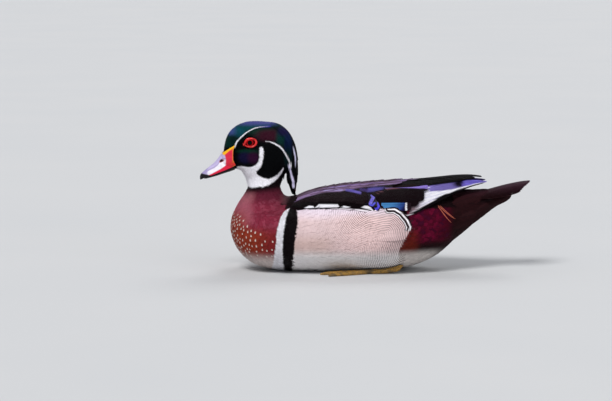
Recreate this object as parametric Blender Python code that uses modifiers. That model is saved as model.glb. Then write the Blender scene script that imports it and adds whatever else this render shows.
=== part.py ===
"""A drake wood duck at life size, in the pose of a bird at rest on water, set down on its belly.

The bird faces -X and its left side faces -Y. Z = 0 is the surface that it sits on, and the origin
is under the middle of its length. Every size in this file is in millimetres, and finish() scales
each finished mesh to metres.
"""

import math

import bmesh
import bpy
import numpy as np
from mathutils import Matrix, Vector

MM = 0.001
GAP = 0.3  # between pieces that touch

# The trunk from breast to vent: x, keel, back, half beam, height of the widest line
TRUNK = [
    (-148.3, 43.5, 50.5, 5, 47),
    (-147, 38, 58, 15, 47),
    (-144, 29.5, 65.5, 26, 47),
    (-138, 19.5, 73, 37, 47),
    (-128, 10, 78, 47, 47),
    (-115, 3.5, 80, 54.5, 47),
    (-98, 0, 80.5, 60, 47.5),
    (-78, -1.5, 81.5, 64.5, 48),
    (-55, -1.5, 86, 68.5, 49),
    (-28, -1.5, 90.5, 71.5, 50),
    (0, -1.5, 93.5, 72, 50),
    (26, -0.5, 94.5, 69, 51),
    (48, 3, 93.5, 62, 52.5),
    (68, 10, 91.5, 53, 55),
    (86, 20.5, 89, 44, 59),
    (102, 34, 86.5, 35.5, 64),
    (118, 50, 84.5, 27, 69),
    (132, 63.5, 83.5, 19, 75),
    (143, 72, 83.5, 11, 78.5),
    (148, 76.5, 82.5, 4, 80),
]
HULL_POWER = 2.3  # fullness of the belly's section
FLANK_POWER = 2.8  # fullness of the side feathers' section
FLANK_RISE = 0.77  # how far up the back the side feathers reach
RIDGE_BEAM = 0.85  # beam of the back against that of the flanks

# The neck: height, front x, back x, half width
NECK = [
    (48, -141, -62, 44),
    (60, -143.5, -66, 42),
    (68, -142.6, -72, 38.5),
    (75, -139, -80, 33.5),
    (82, -134.4, -87.5, 27.5),
    (90, -129.5, -91.5, 21.5),
    (98, -128.5, -92.3, 18.6),
    (108, -129, -92, 18),
    (120, -127, -94, 16),
]

# The head behind the bill: x, throat, crown, half width, height of the widest line
HEAD = [
    (-156.2, 117, 127, 5, 121),
    (-154.8, 112.5, 138, 9, 122),
    (-151.5, 111, 149.5, 11.5, 124),
    (-145, 110.5, 157.3, 14.5, 126),
    (-137, 108, 162, 17.8, 127),
    (-128, 98, 164.6, 20.3, 128),
    (-118, 91.5, 164.9, 21.5, 128),
    (-108, 91.5, 164.2, 21, 127),
    (-99, 95, 161.5, 19, 127),
    (-91, 101, 157.5, 15.5, 127),
    (-85, 110, 152, 11, 129),
    (-81, 121, 145, 6, 133),
    (-79, 130, 138, 2, 134),
]
HEAD_POWER = 2.2

# The upper bill: x, cutting edge, ridge, half width
UPPER_BILL = [
    (-180.9, 100.2, 103.2, 2.5),
    (-180.2, 99.2, 105, 4.3),
    (-178, 100.4, 107.3, 6),
    (-174, 102.1, 110.8, 7.2),
    (-169.5, 103.8, 114.4, 7.6),
    (-165.5, 105.2, 117.6, 7.9),
    (-161, 106.9, 122.6, 8.6),
    (-157.5, 108.3, 127.6, 9.6),
    (-151, 110.6, 129.5, 10.6),
    (-144, 114, 131, 11.5),
]
# The lower bill, tucked inside the cutting edges: x, underside, upper side, half width
LOWER_BILL = [
    (-176.5, 100.3, 100.6, 2.5),
    (-174, 100.2, 101.7, 4.8),
    (-169, 101.4, 103.5, 6),
    (-162, 103.4, 106, 6.8),
    (-155, 105.8, 108.8, 8),
    (-148, 108, 111.6, 10),
    (-140.5, 110.8, 115, 12),
]
# Side view of the bill's skin where it runs back over the lores to a point under the brow
LORE_SKIN = [
    (-158.5, 127.8),
    (-150, 133.4),
    (-141.9, 138.5),
    (-143.6, 132.3),
    (-144, 127),
    (-143.6, 121.4),
    (-141, 116),
    (-150, 111),
    (-158.5, 108),
]
LORE_DEPTH = 1.1
NOSTRIL = (-157.6, 7.6, 120.6)
NOSTRIL_RADII = (2.3, 3.4, 1.1)
BILL_SLOPE = math.radians(42)

EYE = (-125.6, 13.0, 141.3)
EYE_RADIUS = 7.5
LID = (-125.8, 19.0, 141.3)
LID_RADII = (6.5, 5.2)
LID_THICKNESS = 1.0

# The crest in side view: outer x, outer z, inner x, inner z, half width
CREST = [
    (-106, 165.2, -105, 155, 9),
    (-92, 160.3, -98, 150, 12),
    (-82, 150.8, -92, 143, 12),
    (-76, 138, -88, 134, 11),
    (-73.6, 124, -86, 122, 9.5),
    (-73.2, 110, -86, 109, 7.5),
    (-74.3, 98, -85.5, 99, 5.5),
    (-76, 89, -82.5, 91, 3.5),
    (-78.7, 82.8, -79.6, 83.4, 0.8),
]

# The roof that the folded wings make over the back: x, ridge, half width, height of the eaves
ROOF = [
    (-80, 80, 60, 50),
    (-60, 87, 67.5, 51),
    (-30, 93, 71, 52),
    (0, 96, 71.3, 53),
    (30, 98, 67.5, 56),
    (50, 99, 60.5, 60),
    (66, 100, 50.5, 68),
    (83, 101.5, 38.5, 77),
    (100, 103, 28.5, 85),
    (118, 103, 20, 92),
    (136, 100, 13, 96.5),
]
# The body of one folded wing on that roof: x, lower and upper edge in degrees up the roof, thickness
WING_CORE = [
    (-76, 46, 76, 9),
    (-60, 33, 82, 10),
    (-30, 30, 84, 10),
    (0, 29, 84, 10),
    (30, 25, 84, 9),
    (48, 19, 82, 7),
    (62, 20, 78, 4),
]
CORE_DEPTH = 1.0  # how far the core lies under the roof
# Tiers of feathers on one wing. In each: how many, the x and degrees of the lowest and the highest
# root, the same for the tips, width, lift of root and tip off the roof, and the slope of the shingles
PRIMARIES = (5, (40, 16), (46, 44), (134.5, 39), (104, 66), 11, -2.4, -0.4, 0.24)
SECONDARIES = (4, (-6, 31), (2, 43), (47, 18), (47.5, 35), 9.5, -3.0, 0.3, 0.2)
TERTIALS = (4, (-2, 46), (-8, 77), (68, 42), (129.5, 73), 16.5, -3.0, 1.2, 0.12)
COVERTS = (4, (-28, 32), (-22, 50), (20, 27), (18, 44), 11, -3.0, 0.8, 0.16)
SCAPULARS = [
    (4, (-14, 46), (-12, 78), (44, 43), (62, 76), 16.5, -3.2, 1.6, 0.08),
    (4, (-38, 42), (-34, 79), (16, 42), (28, 77), 18, -3.2, 0.9, 0.08),
    (4, (-60, 42), (-54, 79), (-16, 38), (-6, 77), 18, -3.2, 0.8, 0.08),
    (3, (-74, 52), (-68, 77), (-44, 43), (-38, 75), 20, -3.2, 0.7, 0.08),
]

# The surface that the closed tail's middle feathers lie on: x, half width, height, droop
TAIL_FAN = [
    (104, 13, 79, 2),
    (114, 15, 82, 3),
    (125, 19, 85.5, 4),
    (138, 22.5, 89, 5.5),
    (152, 24.5, 92.8, 7),
    (165, 24.5, 95.7, 8),
    (174, 23.5, 97.2, 8.5),
    (182, 21.5, 98, 8.5),
]
TAIL_FEATHERS = 10
TAIL_TIP = 181.3
TAIL_ROUNDING = 9  # how much shorter the outermost ones are
TAIL_FEATHER_WIDTH = 13.5
TAIL_STEP = 1.1  # how far each feather lies under the next one in
# Tail coverts on the trunk: how many, x and degrees of the first and last root, the same for the
# tips, width, lift of root and tip, slope. Over 0 degrees they are above, and under 0 below
TAIL_COVERTS = [
    (4, (102, 38), (102, 142), (142, 38), (142, 142), 11.5, -3.0, 0.8, 0),
    (4, (106, -36), (106, -144), (146, -30), (146, -150), 11, -3.0, 0.4, 0),
]

# Crest feathers: how many, percent of the way down and degrees round the crest of the first and the
# last root, the same for the tips, width, lift of root and tip, slope
CREST_FEATHERS = [
    (4, (8, -78), (8, 78), (88, -74), (88, 74), 7, -2.6, -0.8, 0),
    (3, (4, -46), (4, 46), (96, -40), (96, 40), 7.5, -1.6, 0.1, 0),
    (2, (2, -15), (2, 15), (100, -12), (100, 12), 6, -0.9, 0.6, 0),
    (3, (36, -210), (36, -150), (82, -205), (82, -155), 7, -2.4, -0.8, 0),
]
CREST_CORE = 5  # rows of the crest that its core fills
CREST_CORE_SHARE = 0.82

# A feather's outline: how far along it each ring lies, and the share of the full width it has there
ROUND_TIP = ((0, 0.5), (0.35, 0.95), (0.74, 1), (0.92, 0.68), (1, 0.2))
LONG_TIP = ((0, 0.6), (0.35, 1), (0.74, 0.9), (0.92, 0.55), (1, 0.14))
SHORT_FEATHER = ((0, 0.55), (0.5, 1), (0.87, 0.82), (1, 0.24))
SHAFT_THICKNESS = 0.9
EDGE_THICKNESS = 0.5

# The legs, folded under the belly: x, y and z of the middle, and the radius there
SHANK = [(31, 35, 24, 7), (37, 38, 9, 4.6), (30, 39.5, 4.4, 3.2), (18, 40.5, 2.7, 2.6), (3.7, 42, 2.7, 2.8)]
MIDDLE_TOE = [(3.4, 42, 2.5, 2.7), (-22, 47, 2.1, 2.2), (-42, 50.5, 1.7, 1.8), (-49, 52, 1.0, 0.7)]
OUTER_TOE = [(3.4, 42, 2.5, 2.7), (-16, 54, 2.1, 2.1), (-34, 62.5, 1.7, 1.7), (-40, 65.5, 1.0, 0.7)]
INNER_TOE = [(3.4, 42, 2.5, 2.7), (-16, 41, 1.9, 2.0), (-34, 40.5, 1.5, 1.6), (-40.5, 40.5, 1.0, 0.7)]
HIND_TOE = [(2.4, 41, 2.2, 2.0), (0, 36, 1.6, 1.5), (-1, 31.5, 1.0, 0.6)]
WEB_THICKNESS = 1.1
WEB_NOTCH = 4.0  # how far the web's edge falls back between two toes

# Where the body is parted: a point on the cut, and the cut's normal, towards the first name
HEAD_FROM_NECK = ((-110, 0, 97), (-0.19, 0, 1))
NECK_FROM_TORSO = ((-86, 0, 84), (-0.25, 0, 1))
TAIL_FROM_TORSO = ((96, 0, 60), (0.95, 0, -0.3))

BODY_VOXEL = 1.8
BODY_TRIANGLES = 3150
RING_STEPS = 3  # rings between two rows of a table
SOLVER = "MANIFOLD"  # the exact one leaves open edges where many vanes cross

COLOURS = {
    "torso": (0.55, 0.40, 0.30),
    "neck": (0.22, 0.03, 0.03),
    "head": (0.01, 0.05, 0.04),
    "crest": (0.01, 0.03, 0.05),
    "bill_upper": (0.80, 0.10, 0.10),
    "bill_lower": (0.02, 0.02, 0.02),
    "eye": (0.60, 0.01, 0.01),
    "wing": (0.03, 0.015, 0.04),
    "tail": (0.02, 0.012, 0.012),
    "leg": (0.50, 0.30, 0.06),
}


def clear_scene():
    for old in list(bpy.data.objects):
        bpy.data.objects.remove(old)


def new_object(name, shape):
    """An object from a bmesh, which is freed."""
    mesh = bpy.data.meshes.new(name)
    shape.to_mesh(mesh)
    shape.free()
    made = bpy.data.objects.new(name, mesh)
    bpy.context.scene.collection.objects.link(made)
    return made


def smooth_rows(rows, steps=RING_STEPS):
    """The table's rows with others between them, on one smooth curve through them all."""
    table = np.array(rows, float)
    padded = np.vstack([2 * table[0] - table[1], table, 2 * table[-1] - table[-2]])
    fine = []
    for before, here, after, last in zip(padded, padded[1:], padded[2:], padded[3:]):
        for t in np.arange(steps) / steps:
            line = 2 * here + (after - before) * t
            bend = (2 * before - 5 * here + 4 * after - last) * t**2
            twist = (3 * here - before - 3 * after + last) * t**3
            fine.append((line + bend + twist) / 2)
    fine.append(table[-1])
    return np.array(fine)


def row_at(rows, x):
    """One row of a smoothed table, at any x."""
    return [float(np.interp(x, rows[:, 0], column)) for column in rows.T[1:]]


def loft(name, rings):
    """A closed skin over rings of points, with a flat face on each end."""
    shape = bmesh.new()
    loops = [[shape.verts.new(point) for point in ring] for ring in rings]
    for near, far in zip(loops, loops[1:]):
        for i in range(len(near)):
            j = (i + 1) % len(near)
            shape.faces.new((near[i], near[j], far[j], far[i]))
    shape.faces.new(loops[0][::-1])
    shape.faces.new(loops[-1])
    bmesh.ops.triangulate(shape, faces=[f for f in shape.faces if len(f.verts) > 4])
    bmesh.ops.recalc_face_normals(shape, faces=shape.faces)
    return new_object(name, shape)


def superellipse(cosine, sine, across, up, power):
    """Distance from the middle to a superellipse in that direction."""
    return (abs(cosine / across) ** power + abs(sine / up) ** power) ** (-1 / power)


def turn(sides):
    """Cosine and sine of equal steps round a circle."""
    return [(math.cos(2 * math.pi * k / sides), math.sin(2 * math.pi * k / sides)) for k in range(sides)]


def trunk_ring(x, keel, back, beam, waist):
    """A section of the trunk: a full belly, a narrower back and the shoulders of the side feathers."""
    ring = []
    for c, s in turn(40):
        if s < 0:
            r = superellipse(c, s, beam, waist - keel, HULL_POWER)
        else:
            ridge = superellipse(c, s, RIDGE_BEAM * beam, back - waist, 2)
            r = max(ridge, superellipse(c, s, beam, FLANK_RISE * (back - waist), FLANK_POWER))
        ring.append((x, r * c, waist + r * s))
    return ring


def head_ring(x, throat, crown, half, waist):
    ring = []
    for c, s in turn(32):
        up = crown - waist if s > 0 else waist - throat
        r = superellipse(c, s, half, up, HEAD_POWER)
        ring.append((x, r * c, waist + r * s))
    return ring


def neck_ring(z, front, back, half):
    middle, reach = (front + back) / 2, (back - front) / 2
    return [(middle + reach * c, half * s, z) for c, s in turn(32)]


def applied(thing):
    """The object with its modifiers made part of its mesh."""
    graph = bpy.context.evaluated_depsgraph_get()
    mesh = bpy.data.meshes.new_from_object(thing.evaluated_get(graph))
    thing.modifiers.clear()
    old, thing.data = thing.data, mesh
    bpy.data.meshes.remove(old)
    return thing


def discard(thing):
    mesh = thing.data
    bpy.data.objects.remove(thing)
    bpy.data.meshes.remove(mesh)


def largest_only(thing):
    """Keeps only the largest closed surface of a mesh."""
    shape = bmesh.new()
    shape.from_mesh(thing.data)
    left, bodies = set(shape.verts), []
    while left:
        body, edge = set(), [left.pop()]
        while edge:
            vertex = edge.pop()
            body.add(vertex)
            for link in vertex.link_edges:
                other = link.other_vert(vertex)
                if other in left:
                    left.remove(other)
                    edge.append(other)
        bodies.append(body)
    bodies.sort(key=len)
    scraps = [vertex for body in bodies[:-1] for vertex in body]
    bmesh.ops.delete(shape, geom=scraps, context="VERTS")
    shape.to_mesh(thing.data)
    shape.free()
    return thing


def joined(thing, others):
    """One closed surface over a thing and all the others, which are used up."""
    group = bpy.data.collections.new(thing.name + "_pieces")
    for other in others:
        group.objects.link(other)
    union = thing.modifiers.new("union", "BOOLEAN")
    union.operation = "UNION"
    union.operand_type = "COLLECTION"
    union.collection = group
    union.solver = SOLVER
    applied(thing)
    for other in others:
        discard(other)
    bpy.data.collections.remove(group)
    return largest_only(thing)


def cut_by(thing, cutter, operation="DIFFERENCE"):
    """The thing less the cutter, or what both share. The cutter is used up."""
    cut = thing.modifiers.new("cut", "BOOLEAN")
    cut.operation = operation
    cut.object = cutter
    cut.solver = SOLVER
    applied(thing)
    discard(cutter)
    return largest_only(thing)


def swollen(thing, by=GAP):
    """A copy whose surface lies a little further out everywhere."""
    shape = bmesh.new()
    shape.from_mesh(thing.data)
    shape.normal_update()
    for vertex, normal in [(v, v.normal.copy()) for v in shape.verts]:
        vertex.co += normal * by
    return new_object(thing.name + "_swollen", shape)


def clear_of(thing, *neighbours):
    """Cuts a thing back so that it meets its neighbours face to face across the gap."""
    for neighbour in neighbours:
        cut_by(thing, swollen(neighbour))
    return thing


def half_of(thing, name, point, normal, shift=0.0):
    """What lies on the side of a plane that its normal points to, closed with a flat face."""
    along = Vector(normal).normalized()
    shape = bmesh.new()
    shape.from_mesh(thing.data)
    bmesh.ops.bisect_plane(
        shape,
        geom=shape.verts[:] + shape.edges[:] + shape.faces[:],
        plane_co=Vector(point) + along * shift,
        plane_no=along,
        clear_inner=True,
    )
    bmesh.ops.holes_fill(shape, edges=[e for e in shape.edges if e.is_boundary])
    bmesh.ops.triangulate(shape, faces=[f for f in shape.faces if len(f.verts) > 4])
    return largest_only(new_object(name, shape))


def parted(thing, first, second, point, normal):
    """Cuts a thing in two along a plane, with the gap between the halves."""
    against = tuple(-n for n in normal)
    halves = (
        half_of(thing, first, point, normal, GAP / 2),
        half_of(thing, second, point, against, GAP / 2),
    )
    discard(thing)
    return halves


def blended(name, things, voxel, triangles):
    """Overlapping things grown into one smooth body with about that many triangles."""
    shape = bmesh.new()
    for thing in things:
        shape.from_mesh(thing.data)
        discard(thing)
    body = new_object(name, shape)
    remesh = body.modifiers.new("remesh", "REMESH")
    remesh.mode = "VOXEL"
    remesh.voxel_size = voxel
    relax = body.modifiers.new("relax", "SMOOTH")
    relax.factor = 0.5
    relax.iterations = 8
    applied(body)
    thin = body.modifiers.new("thin", "DECIMATE")
    thin.ratio = triangles / (2 * len(body.data.polygons))
    thin.use_symmetry = True
    thin.symmetry_axis = "Y"
    return largest_only(applied(body))


def tube(name, path, sides=8):
    """A round limb along a path of points with a radius at each."""
    curve = bpy.data.curves.new(name, "CURVE")
    curve.dimensions = "3D"
    curve.bevel_depth = 1
    curve.bevel_resolution = (sides - 4) // 2
    curve.use_fill_caps = True
    spline = curve.splines.new("POLY")
    fine = smooth_rows(path, 2)
    spline.points.add(len(fine) - 1)
    for point, (x, y, z, radius) in zip(spline.points, fine):
        point.co = (x, y, z, 1)
        point.radius = radius
    guide = bpy.data.objects.new(name, curve)
    bpy.context.scene.collection.objects.link(guide)
    graph = bpy.context.evaluated_depsgraph_get()
    mesh = bpy.data.meshes.new_from_object(guide.evaluated_get(graph))
    bpy.data.objects.remove(guide)
    bpy.data.curves.remove(curve)
    shape = bmesh.new()
    shape.from_mesh(mesh)
    bpy.data.meshes.remove(mesh)
    bmesh.ops.remove_doubles(shape, verts=shape.verts, dist=0.01)
    bmesh.ops.recalc_face_normals(shape, faces=shape.faces)
    return new_object(name, shape)


def ball(name, middle, radii, sides=16):
    shape = bmesh.new()
    bmesh.ops.create_uvsphere(shape, u_segments=sides, v_segments=sides * 5 // 8, radius=1)
    shape.transform(Matrix.LocRotScale(Vector(middle), None, Vector(radii)))
    return new_object(name, shape)


def mirrored(thing, name):
    """The other side's copy, across the plane Y = 0."""
    shape = bmesh.new()
    shape.from_mesh(thing.data)
    shape.transform(Matrix.Scale(-1, 4, (0, 1, 0)))
    bmesh.ops.reverse_faces(shape, faces=shape.faces)
    return new_object(name, shape)


def body_parts():
    """Head, neck, torso and the root of the tail, modelled whole and parted with thin cuts."""
    trunk = loft("trunk", [trunk_ring(*row) for row in smooth_rows(TRUNK)])
    column = loft("column", [neck_ring(*row) for row in smooth_rows(NECK)])
    skull = loft("skull", [head_ring(*row) for row in smooth_rows(HEAD)])
    whole = blended("whole", [trunk, column, skull], BODY_VOXEL, BODY_TRIANGLES)
    head, rest = parted(whole, "head", "rest", *HEAD_FROM_NECK)
    neck, rest = parted(rest, "neck", "rest", *NECK_FROM_TORSO)
    tail_root, torso = parted(rest, "tail", "torso", *TAIL_FROM_TORSO)
    seated = half_of(torso, "seated", (0, 0, 0), (0, 0, 1))
    discard(torso)
    seated.name = "torso"
    return head, neck, seated, tail_root


def lid_ring(side):
    """The bare rim of skin round one eye."""
    bpy.ops.mesh.primitive_torus_add(
        major_segments=16, minor_segments=5, major_radius=1, minor_radius=LID_THICKNESS / LID_RADII[0]
    )
    ring = bpy.context.object
    across, up = LID_RADII
    scale = Matrix.Diagonal((across, across, up, 1))
    turned = Matrix.Rotation(math.radians(90), 4, "X")
    x, y, z = LID
    lean = Matrix.Rotation(side * math.radians(-14), 4, "X")
    ring.data.transform(Matrix.Translation((x, side * y, z)) @ lean @ scale @ turned)
    return ring


def eyes_in(head):
    """The eyeballs, each in its socket in the head behind a raised rim."""
    joined(head, [lid_ring(-1), lid_ring(1)])
    eyes = []
    for name, side in (("eye_left", -1), ("eye_right", 1)):
        middle = (EYE[0], side * EYE[1], EYE[2])
        cut_by(head, ball("socket", middle, [EYE_RADIUS + GAP] * 3))
        eyes.append(ball(name, middle, [EYE_RADIUS] * 3))
    return eyes


def bill_ring(x, low, high, half, arched=True):
    """A section of a bill: a flat side and an arched one."""
    flat, crown = (low, high) if arched else (high, low)
    ring = []
    for k in range(15):
        angle = math.pi * k / 14
        y = half * math.copysign(abs(math.cos(angle)) ** 0.9, math.cos(angle))
        ring.append((x, y, flat + (crown - flat) * math.sin(angle) ** 0.9))
    return ring


def side_prism(name, outline, half):
    """An outline in side view, made solid across the bird."""
    shape = bmesh.new()
    face = shape.faces.new([shape.verts.new((x, -half, z)) for x, z in outline])
    swept = bmesh.ops.extrude_face_region(shape, geom=[face])
    moved = [part for part in swept["geom"] if isinstance(part, bmesh.types.BMVert)]
    bmesh.ops.translate(shape, verts=moved, vec=(0, 2 * half, 0))
    bmesh.ops.recalc_face_normals(shape, faces=shape.faces)
    return new_object(name, shape)


def bill_on(head):
    """Upper bill with its skin over the lores and its nostrils, and the lower bill inside it."""
    upper = loft("bill_upper", [bill_ring(*row) for row in smooth_rows(UPPER_BILL, 1)])
    skin = swollen(head, LORE_DEPTH)
    cut_by(skin, side_prism("lores", LORE_SKIN, 30), "INTERSECT")
    joined(upper, [skin])
    clear_of(upper, head)
    for side in (-1, 1):
        x, y, z = NOSTRIL
        slot = ball("slot", (0, 0, 0), NOSTRIL_RADII, 10)
        slot.data.transform(Matrix.Rotation(-BILL_SLOPE, 4, "Y"))
        slot.data.transform(Matrix.Translation((x, side * y, z)))
        cut_by(upper, slot)
    lower = loft("bill_lower", [bill_ring(*row, arched=False) for row in smooth_rows(LOWER_BILL, 1)])
    clear_of(lower, head, upper)
    return upper, lower


def feather(place, root, tip, width, lifts, slope, outline, edge):
    """A vane along a surface, with its shaft thicker than its edges and its root sunk.

    place gives a point from the distances along and across the surface and the lift off it. Both
    faces of the vane are split into triangles alike, so that they never cross.
    """
    root, tip = np.array(root, float), np.array(tip, float)

    def centre(t, aside=0.0, more=0.0):
        along, across = root + (tip - root) * t
        return place(along, across + aside, lifts[0] + (lifts[1] - lifts[0]) * t + more)

    shape = bmesh.new()
    rings = []
    for t, share in outline:
        middle = centre(t)
        up = (centre(t, more=1) - middle).normalized()
        aside = (centre(t + 0.02) - centre(t - 0.02)).cross(up).normalized()
        near, far = centre(t, -4), centre(t, 4)
        curving = ((near + far) / 2 - middle).dot(up) / ((far - near).length / 2) ** 2
        half = width * share / 2
        ring = []
        for s, thick in ((-1, edge), (0, SHAFT_THICKNESS), (1, edge)):
            spine = middle + aside * s * half + up * (curving * (s * half) ** 2 - slope * s * half)
            ring.append([shape.verts.new(spine + up * thick * way / 2) for way in (-1, 1)])
        rings.append(ring)
    for near, far in zip(rings, rings[1:]):
        for i in (0, 1):
            for face in (0, 1):
                a, b, c, d = near[i][face], near[i + 1][face], far[i + 1][face], far[i][face]
                shape.faces.new((a, b, d))
                shape.faces.new((b, c, d))
        for side in (near[0] + far[0], near[2] + far[2]):
            under, over, under_far, over_far = side
            shape.faces.new((under, over, over_far))
            shape.faces.new((under, over_far, under_far))
    for end in (rings[0], rings[-1]):
        for i in (0, 1):
            (a, b), (c, d) = end[i], end[i + 1]
            shape.faces.new((a, b, d))
            shape.faces.new((a, d, c))
    if not edge:
        bmesh.ops.remove_doubles(shape, verts=shape.verts, dist=1e-4)
    bmesh.ops.recalc_face_normals(shape, faces=shape.faces)
    return new_object("feather", shape)


def tier(place, row, outline=ROUND_TIP, edge=EDGE_THICKNESS):
    """A row of feathers spread evenly from the first to the last."""
    count, first_root, last_root, first_tip, last_tip, width, low, high, slope = row
    made = []
    for share in np.linspace(0, 1, count):
        root = np.array(first_root) * (1 - share) + np.array(last_root) * share
        tip = np.array(first_tip) * (1 - share) + np.array(last_tip) * share
        made.append(feather(place, root, tip, width, (low, high), slope, outline, edge))
    return made


CREST_ROWS = smooth_rows(CREST, 2)


def crest_ring(outer_x, outer_z, inner_x, inner_z, half):
    outer, inner = Vector((outer_x, 0, outer_z)), Vector((inner_x, 0, inner_z))
    middle, reach = (outer + inner) / 2, (outer - inner) / 2 * CREST_CORE_SHARE
    across = Vector((0, half * CREST_CORE_SHARE, 0))
    return [middle + reach * c + across * s for c, s in turn(10)]


def crest_point(percent, degrees, lift):
    """A point on the crest: 0 percent at the crown, 0 degrees at the back."""
    steps = np.arange(len(CREST_ROWS)) * 100 / (len(CREST_ROWS) - 1)
    outer_x, outer_z, inner_x, inner_z, half = (np.interp(percent, steps, c) for c in CREST_ROWS.T)
    outer, inner = Vector((outer_x, 0, outer_z)), Vector((inner_x, 0, inner_z))
    reach = (outer - inner) / 2
    c, s = math.cos(math.radians(degrees)), math.sin(math.radians(degrees))
    out = (reach.normalized() * c + Vector((0, s, 0))) * lift
    return (outer + inner) / 2 + reach * c + Vector((0, half * s, 0)) + out


def crest_on(head, neck):
    """The mane that hangs from the nape, feather by feather, over a short core."""
    core = CREST[:CREST_CORE]
    crest = loft("crest", [crest_ring(*row) for row in smooth_rows(core, 2)])
    joined(crest, [one for row in CREST_FEATHERS for one in tier(crest_point, row, LONG_TIP)])
    return clear_of(crest, head, neck)


ROOF_ROWS = smooth_rows(ROOF, 6)
TRUNK_ROWS = smooth_rows(TRUNK, 6)
FAN_ROWS = smooth_rows(TAIL_FAN, 4)


def roof_point(x, degrees, lift):
    """A point on the right half of the folded wings' roof, by how far it is up the slope."""
    ridge, half, eaves = row_at(ROOF_ROWS, x)
    angle = math.radians(degrees)
    return Vector((x, (half + lift) * math.cos(angle), eaves + (ridge - eaves + lift) * math.sin(angle)))


def trunk_point(x, degrees, lift):
    """A point on the trunk, by how far it is round it from the widest line of the right side."""
    keel, back, beam, waist = row_at(TRUNK_ROWS, x)
    c, s = math.cos(math.radians(degrees)), math.sin(math.radians(degrees))
    r = superellipse(c, s, beam, back - waist if s > 0 else waist - keel, HULL_POWER) + lift
    return Vector((x, r * c, waist + r * s))


def fan_point(x, percent, lift):
    """A point on the tail's fan, by how far it is from the middle to the edge."""
    half, middle, droop = row_at(FAN_ROWS, x)
    v = percent / 100
    return Vector((x, half * v, middle - droop * v * v + lift))


def wing_ring(x, low, high, thick):
    steps = np.linspace(0, 1, 6)
    outer = [roof_point(x, low + (high - low) * t, -CORE_DEPTH) for t in steps]
    inner = [roof_point(x, low + (high - low) * t, -thick) for t in steps[::-1]]
    return outer + inner


def folded_wing(torso):
    """The right wing: a core under tiers of overlapping feathers, all of it right of the middle."""
    wing = loft("wing", [wing_ring(*row) for row in smooth_rows(WING_CORE, 1)])
    feathers = tier(roof_point, PRIMARIES, LONG_TIP) + tier(roof_point, TERTIALS)
    for row in [SECONDARIES, COVERTS] + SCAPULARS:
        feathers += tier(roof_point, row, SHORT_FEATHER, 0)
    joined(wing, feathers)
    clear_of(wing, torso)
    kept = half_of(wing, "wing_right", (0, GAP / 2, 0), (0, 1, 0))
    discard(wing)
    return kept


def tail_from(root, torso):
    """The tail's root with the closed fan of feathers in it, and the coverts over both."""
    feathers = []
    for k, share in enumerate(np.linspace(-1, 1, TAIL_FEATHERS)):
        under = abs(k - (TAIL_FEATHERS - 1) / 2) + (0.5 if share < 0 else 0)
        feathers.append(feather(
            fan_point,
            (108, 70 * share),
            (TAIL_TIP - TAIL_ROUNDING * share**2, 94 * share),
            TAIL_FEATHER_WIDTH,
            (-TAIL_STEP * under, -TAIL_STEP * under),
            0,
            ROUND_TIP,
            EDGE_THICKNESS,
        ))
    for row in TAIL_COVERTS:
        feathers += tier(trunk_point, row, SHORT_FEATHER, 0)
    joined(root, feathers)
    return clear_of(root, torso)


def web(toes):
    """The skin between the toes, with its free edge fallen back from tip to tip."""
    tips = [Vector(toe[-2][:2]) for toe in toes]
    heel = Vector(toes[0][0][:2])
    outline = [heel]
    for tip, following in zip(tips, tips[1:] + [None]):
        outline.append(tip)
        if following is not None:
            back = (heel - (tip + following) / 2).normalized()
            outline += [tip.lerp(following, t) + back * WEB_NOTCH * 4 * t * (1 - t) for t in (0.25, 0.5, 0.75)]
    shape = bmesh.new()
    face = shape.faces.new([shape.verts.new((p.x, p.y, 0)) for p in outline])
    swept = bmesh.ops.extrude_face_region(shape, geom=[face])
    moved = [part for part in swept["geom"] if isinstance(part, bmesh.types.BMVert)]
    bmesh.ops.translate(shape, verts=moved, vec=(0, 0, WEB_THICKNESS))
    bmesh.ops.triangulate(shape, faces=[f for f in shape.faces if len(f.verts) > 4])
    bmesh.ops.recalc_face_normals(shape, faces=shape.faces)
    return new_object("web", shape)


def leg_and_foot(torso):
    """The left leg and its webbed foot, flat on the ground under the side of the belly."""
    floor = ((0, 0, 0), (0, 0, 1))
    shank = tube("shank", SHANK, 10)
    leg = half_of(shank, "leg_right", *floor)
    discard(shank)
    toes = [OUTER_TOE, MIDDLE_TOE, INNER_TOE]
    sole = tube("sole", MIDDLE_TOE)
    others = [tube("toe", path) for path in (OUTER_TOE, INNER_TOE, HIND_TOE)]
    joined(sole, others + [web(toes)])
    foot = half_of(sole, "foot_right", *floor)
    discard(sole)
    clear_of(leg, torso)
    clear_of(foot, leg, torso)
    return leg, foot


def finish(thing, colour):
    """Scales a finished piece to metres and gives it its material."""
    shape = bmesh.new()
    shape.from_mesh(thing.data)
    bmesh.ops.remove_doubles(shape, verts=shape.verts, dist=0.002)
    bmesh.ops.dissolve_degenerate(shape, edges=shape.edges, dist=0.002)
    bmesh.ops.triangulate(shape, faces=shape.faces)
    shape.transform(Matrix.Scale(MM, 4))
    shape.to_mesh(thing.data)
    shape.free()
    thing.data.shade_smooth()
    thing.data.set_sharp_from_angle(angle=math.radians(40))
    finish_name = thing.name + "_finish"
    material = bpy.data.materials.new(finish_name)
    material.use_nodes = True
    shader = material.node_tree.nodes["Principled BSDF"]
    shader.inputs["Base Color"].default_value = (*colour, 1)
    shader.inputs["Roughness"].default_value = 0.5
    shader.inputs["Metallic"].default_value = 0.0
    thing.data.materials.clear()
    thing.data.materials.append(material)


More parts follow.
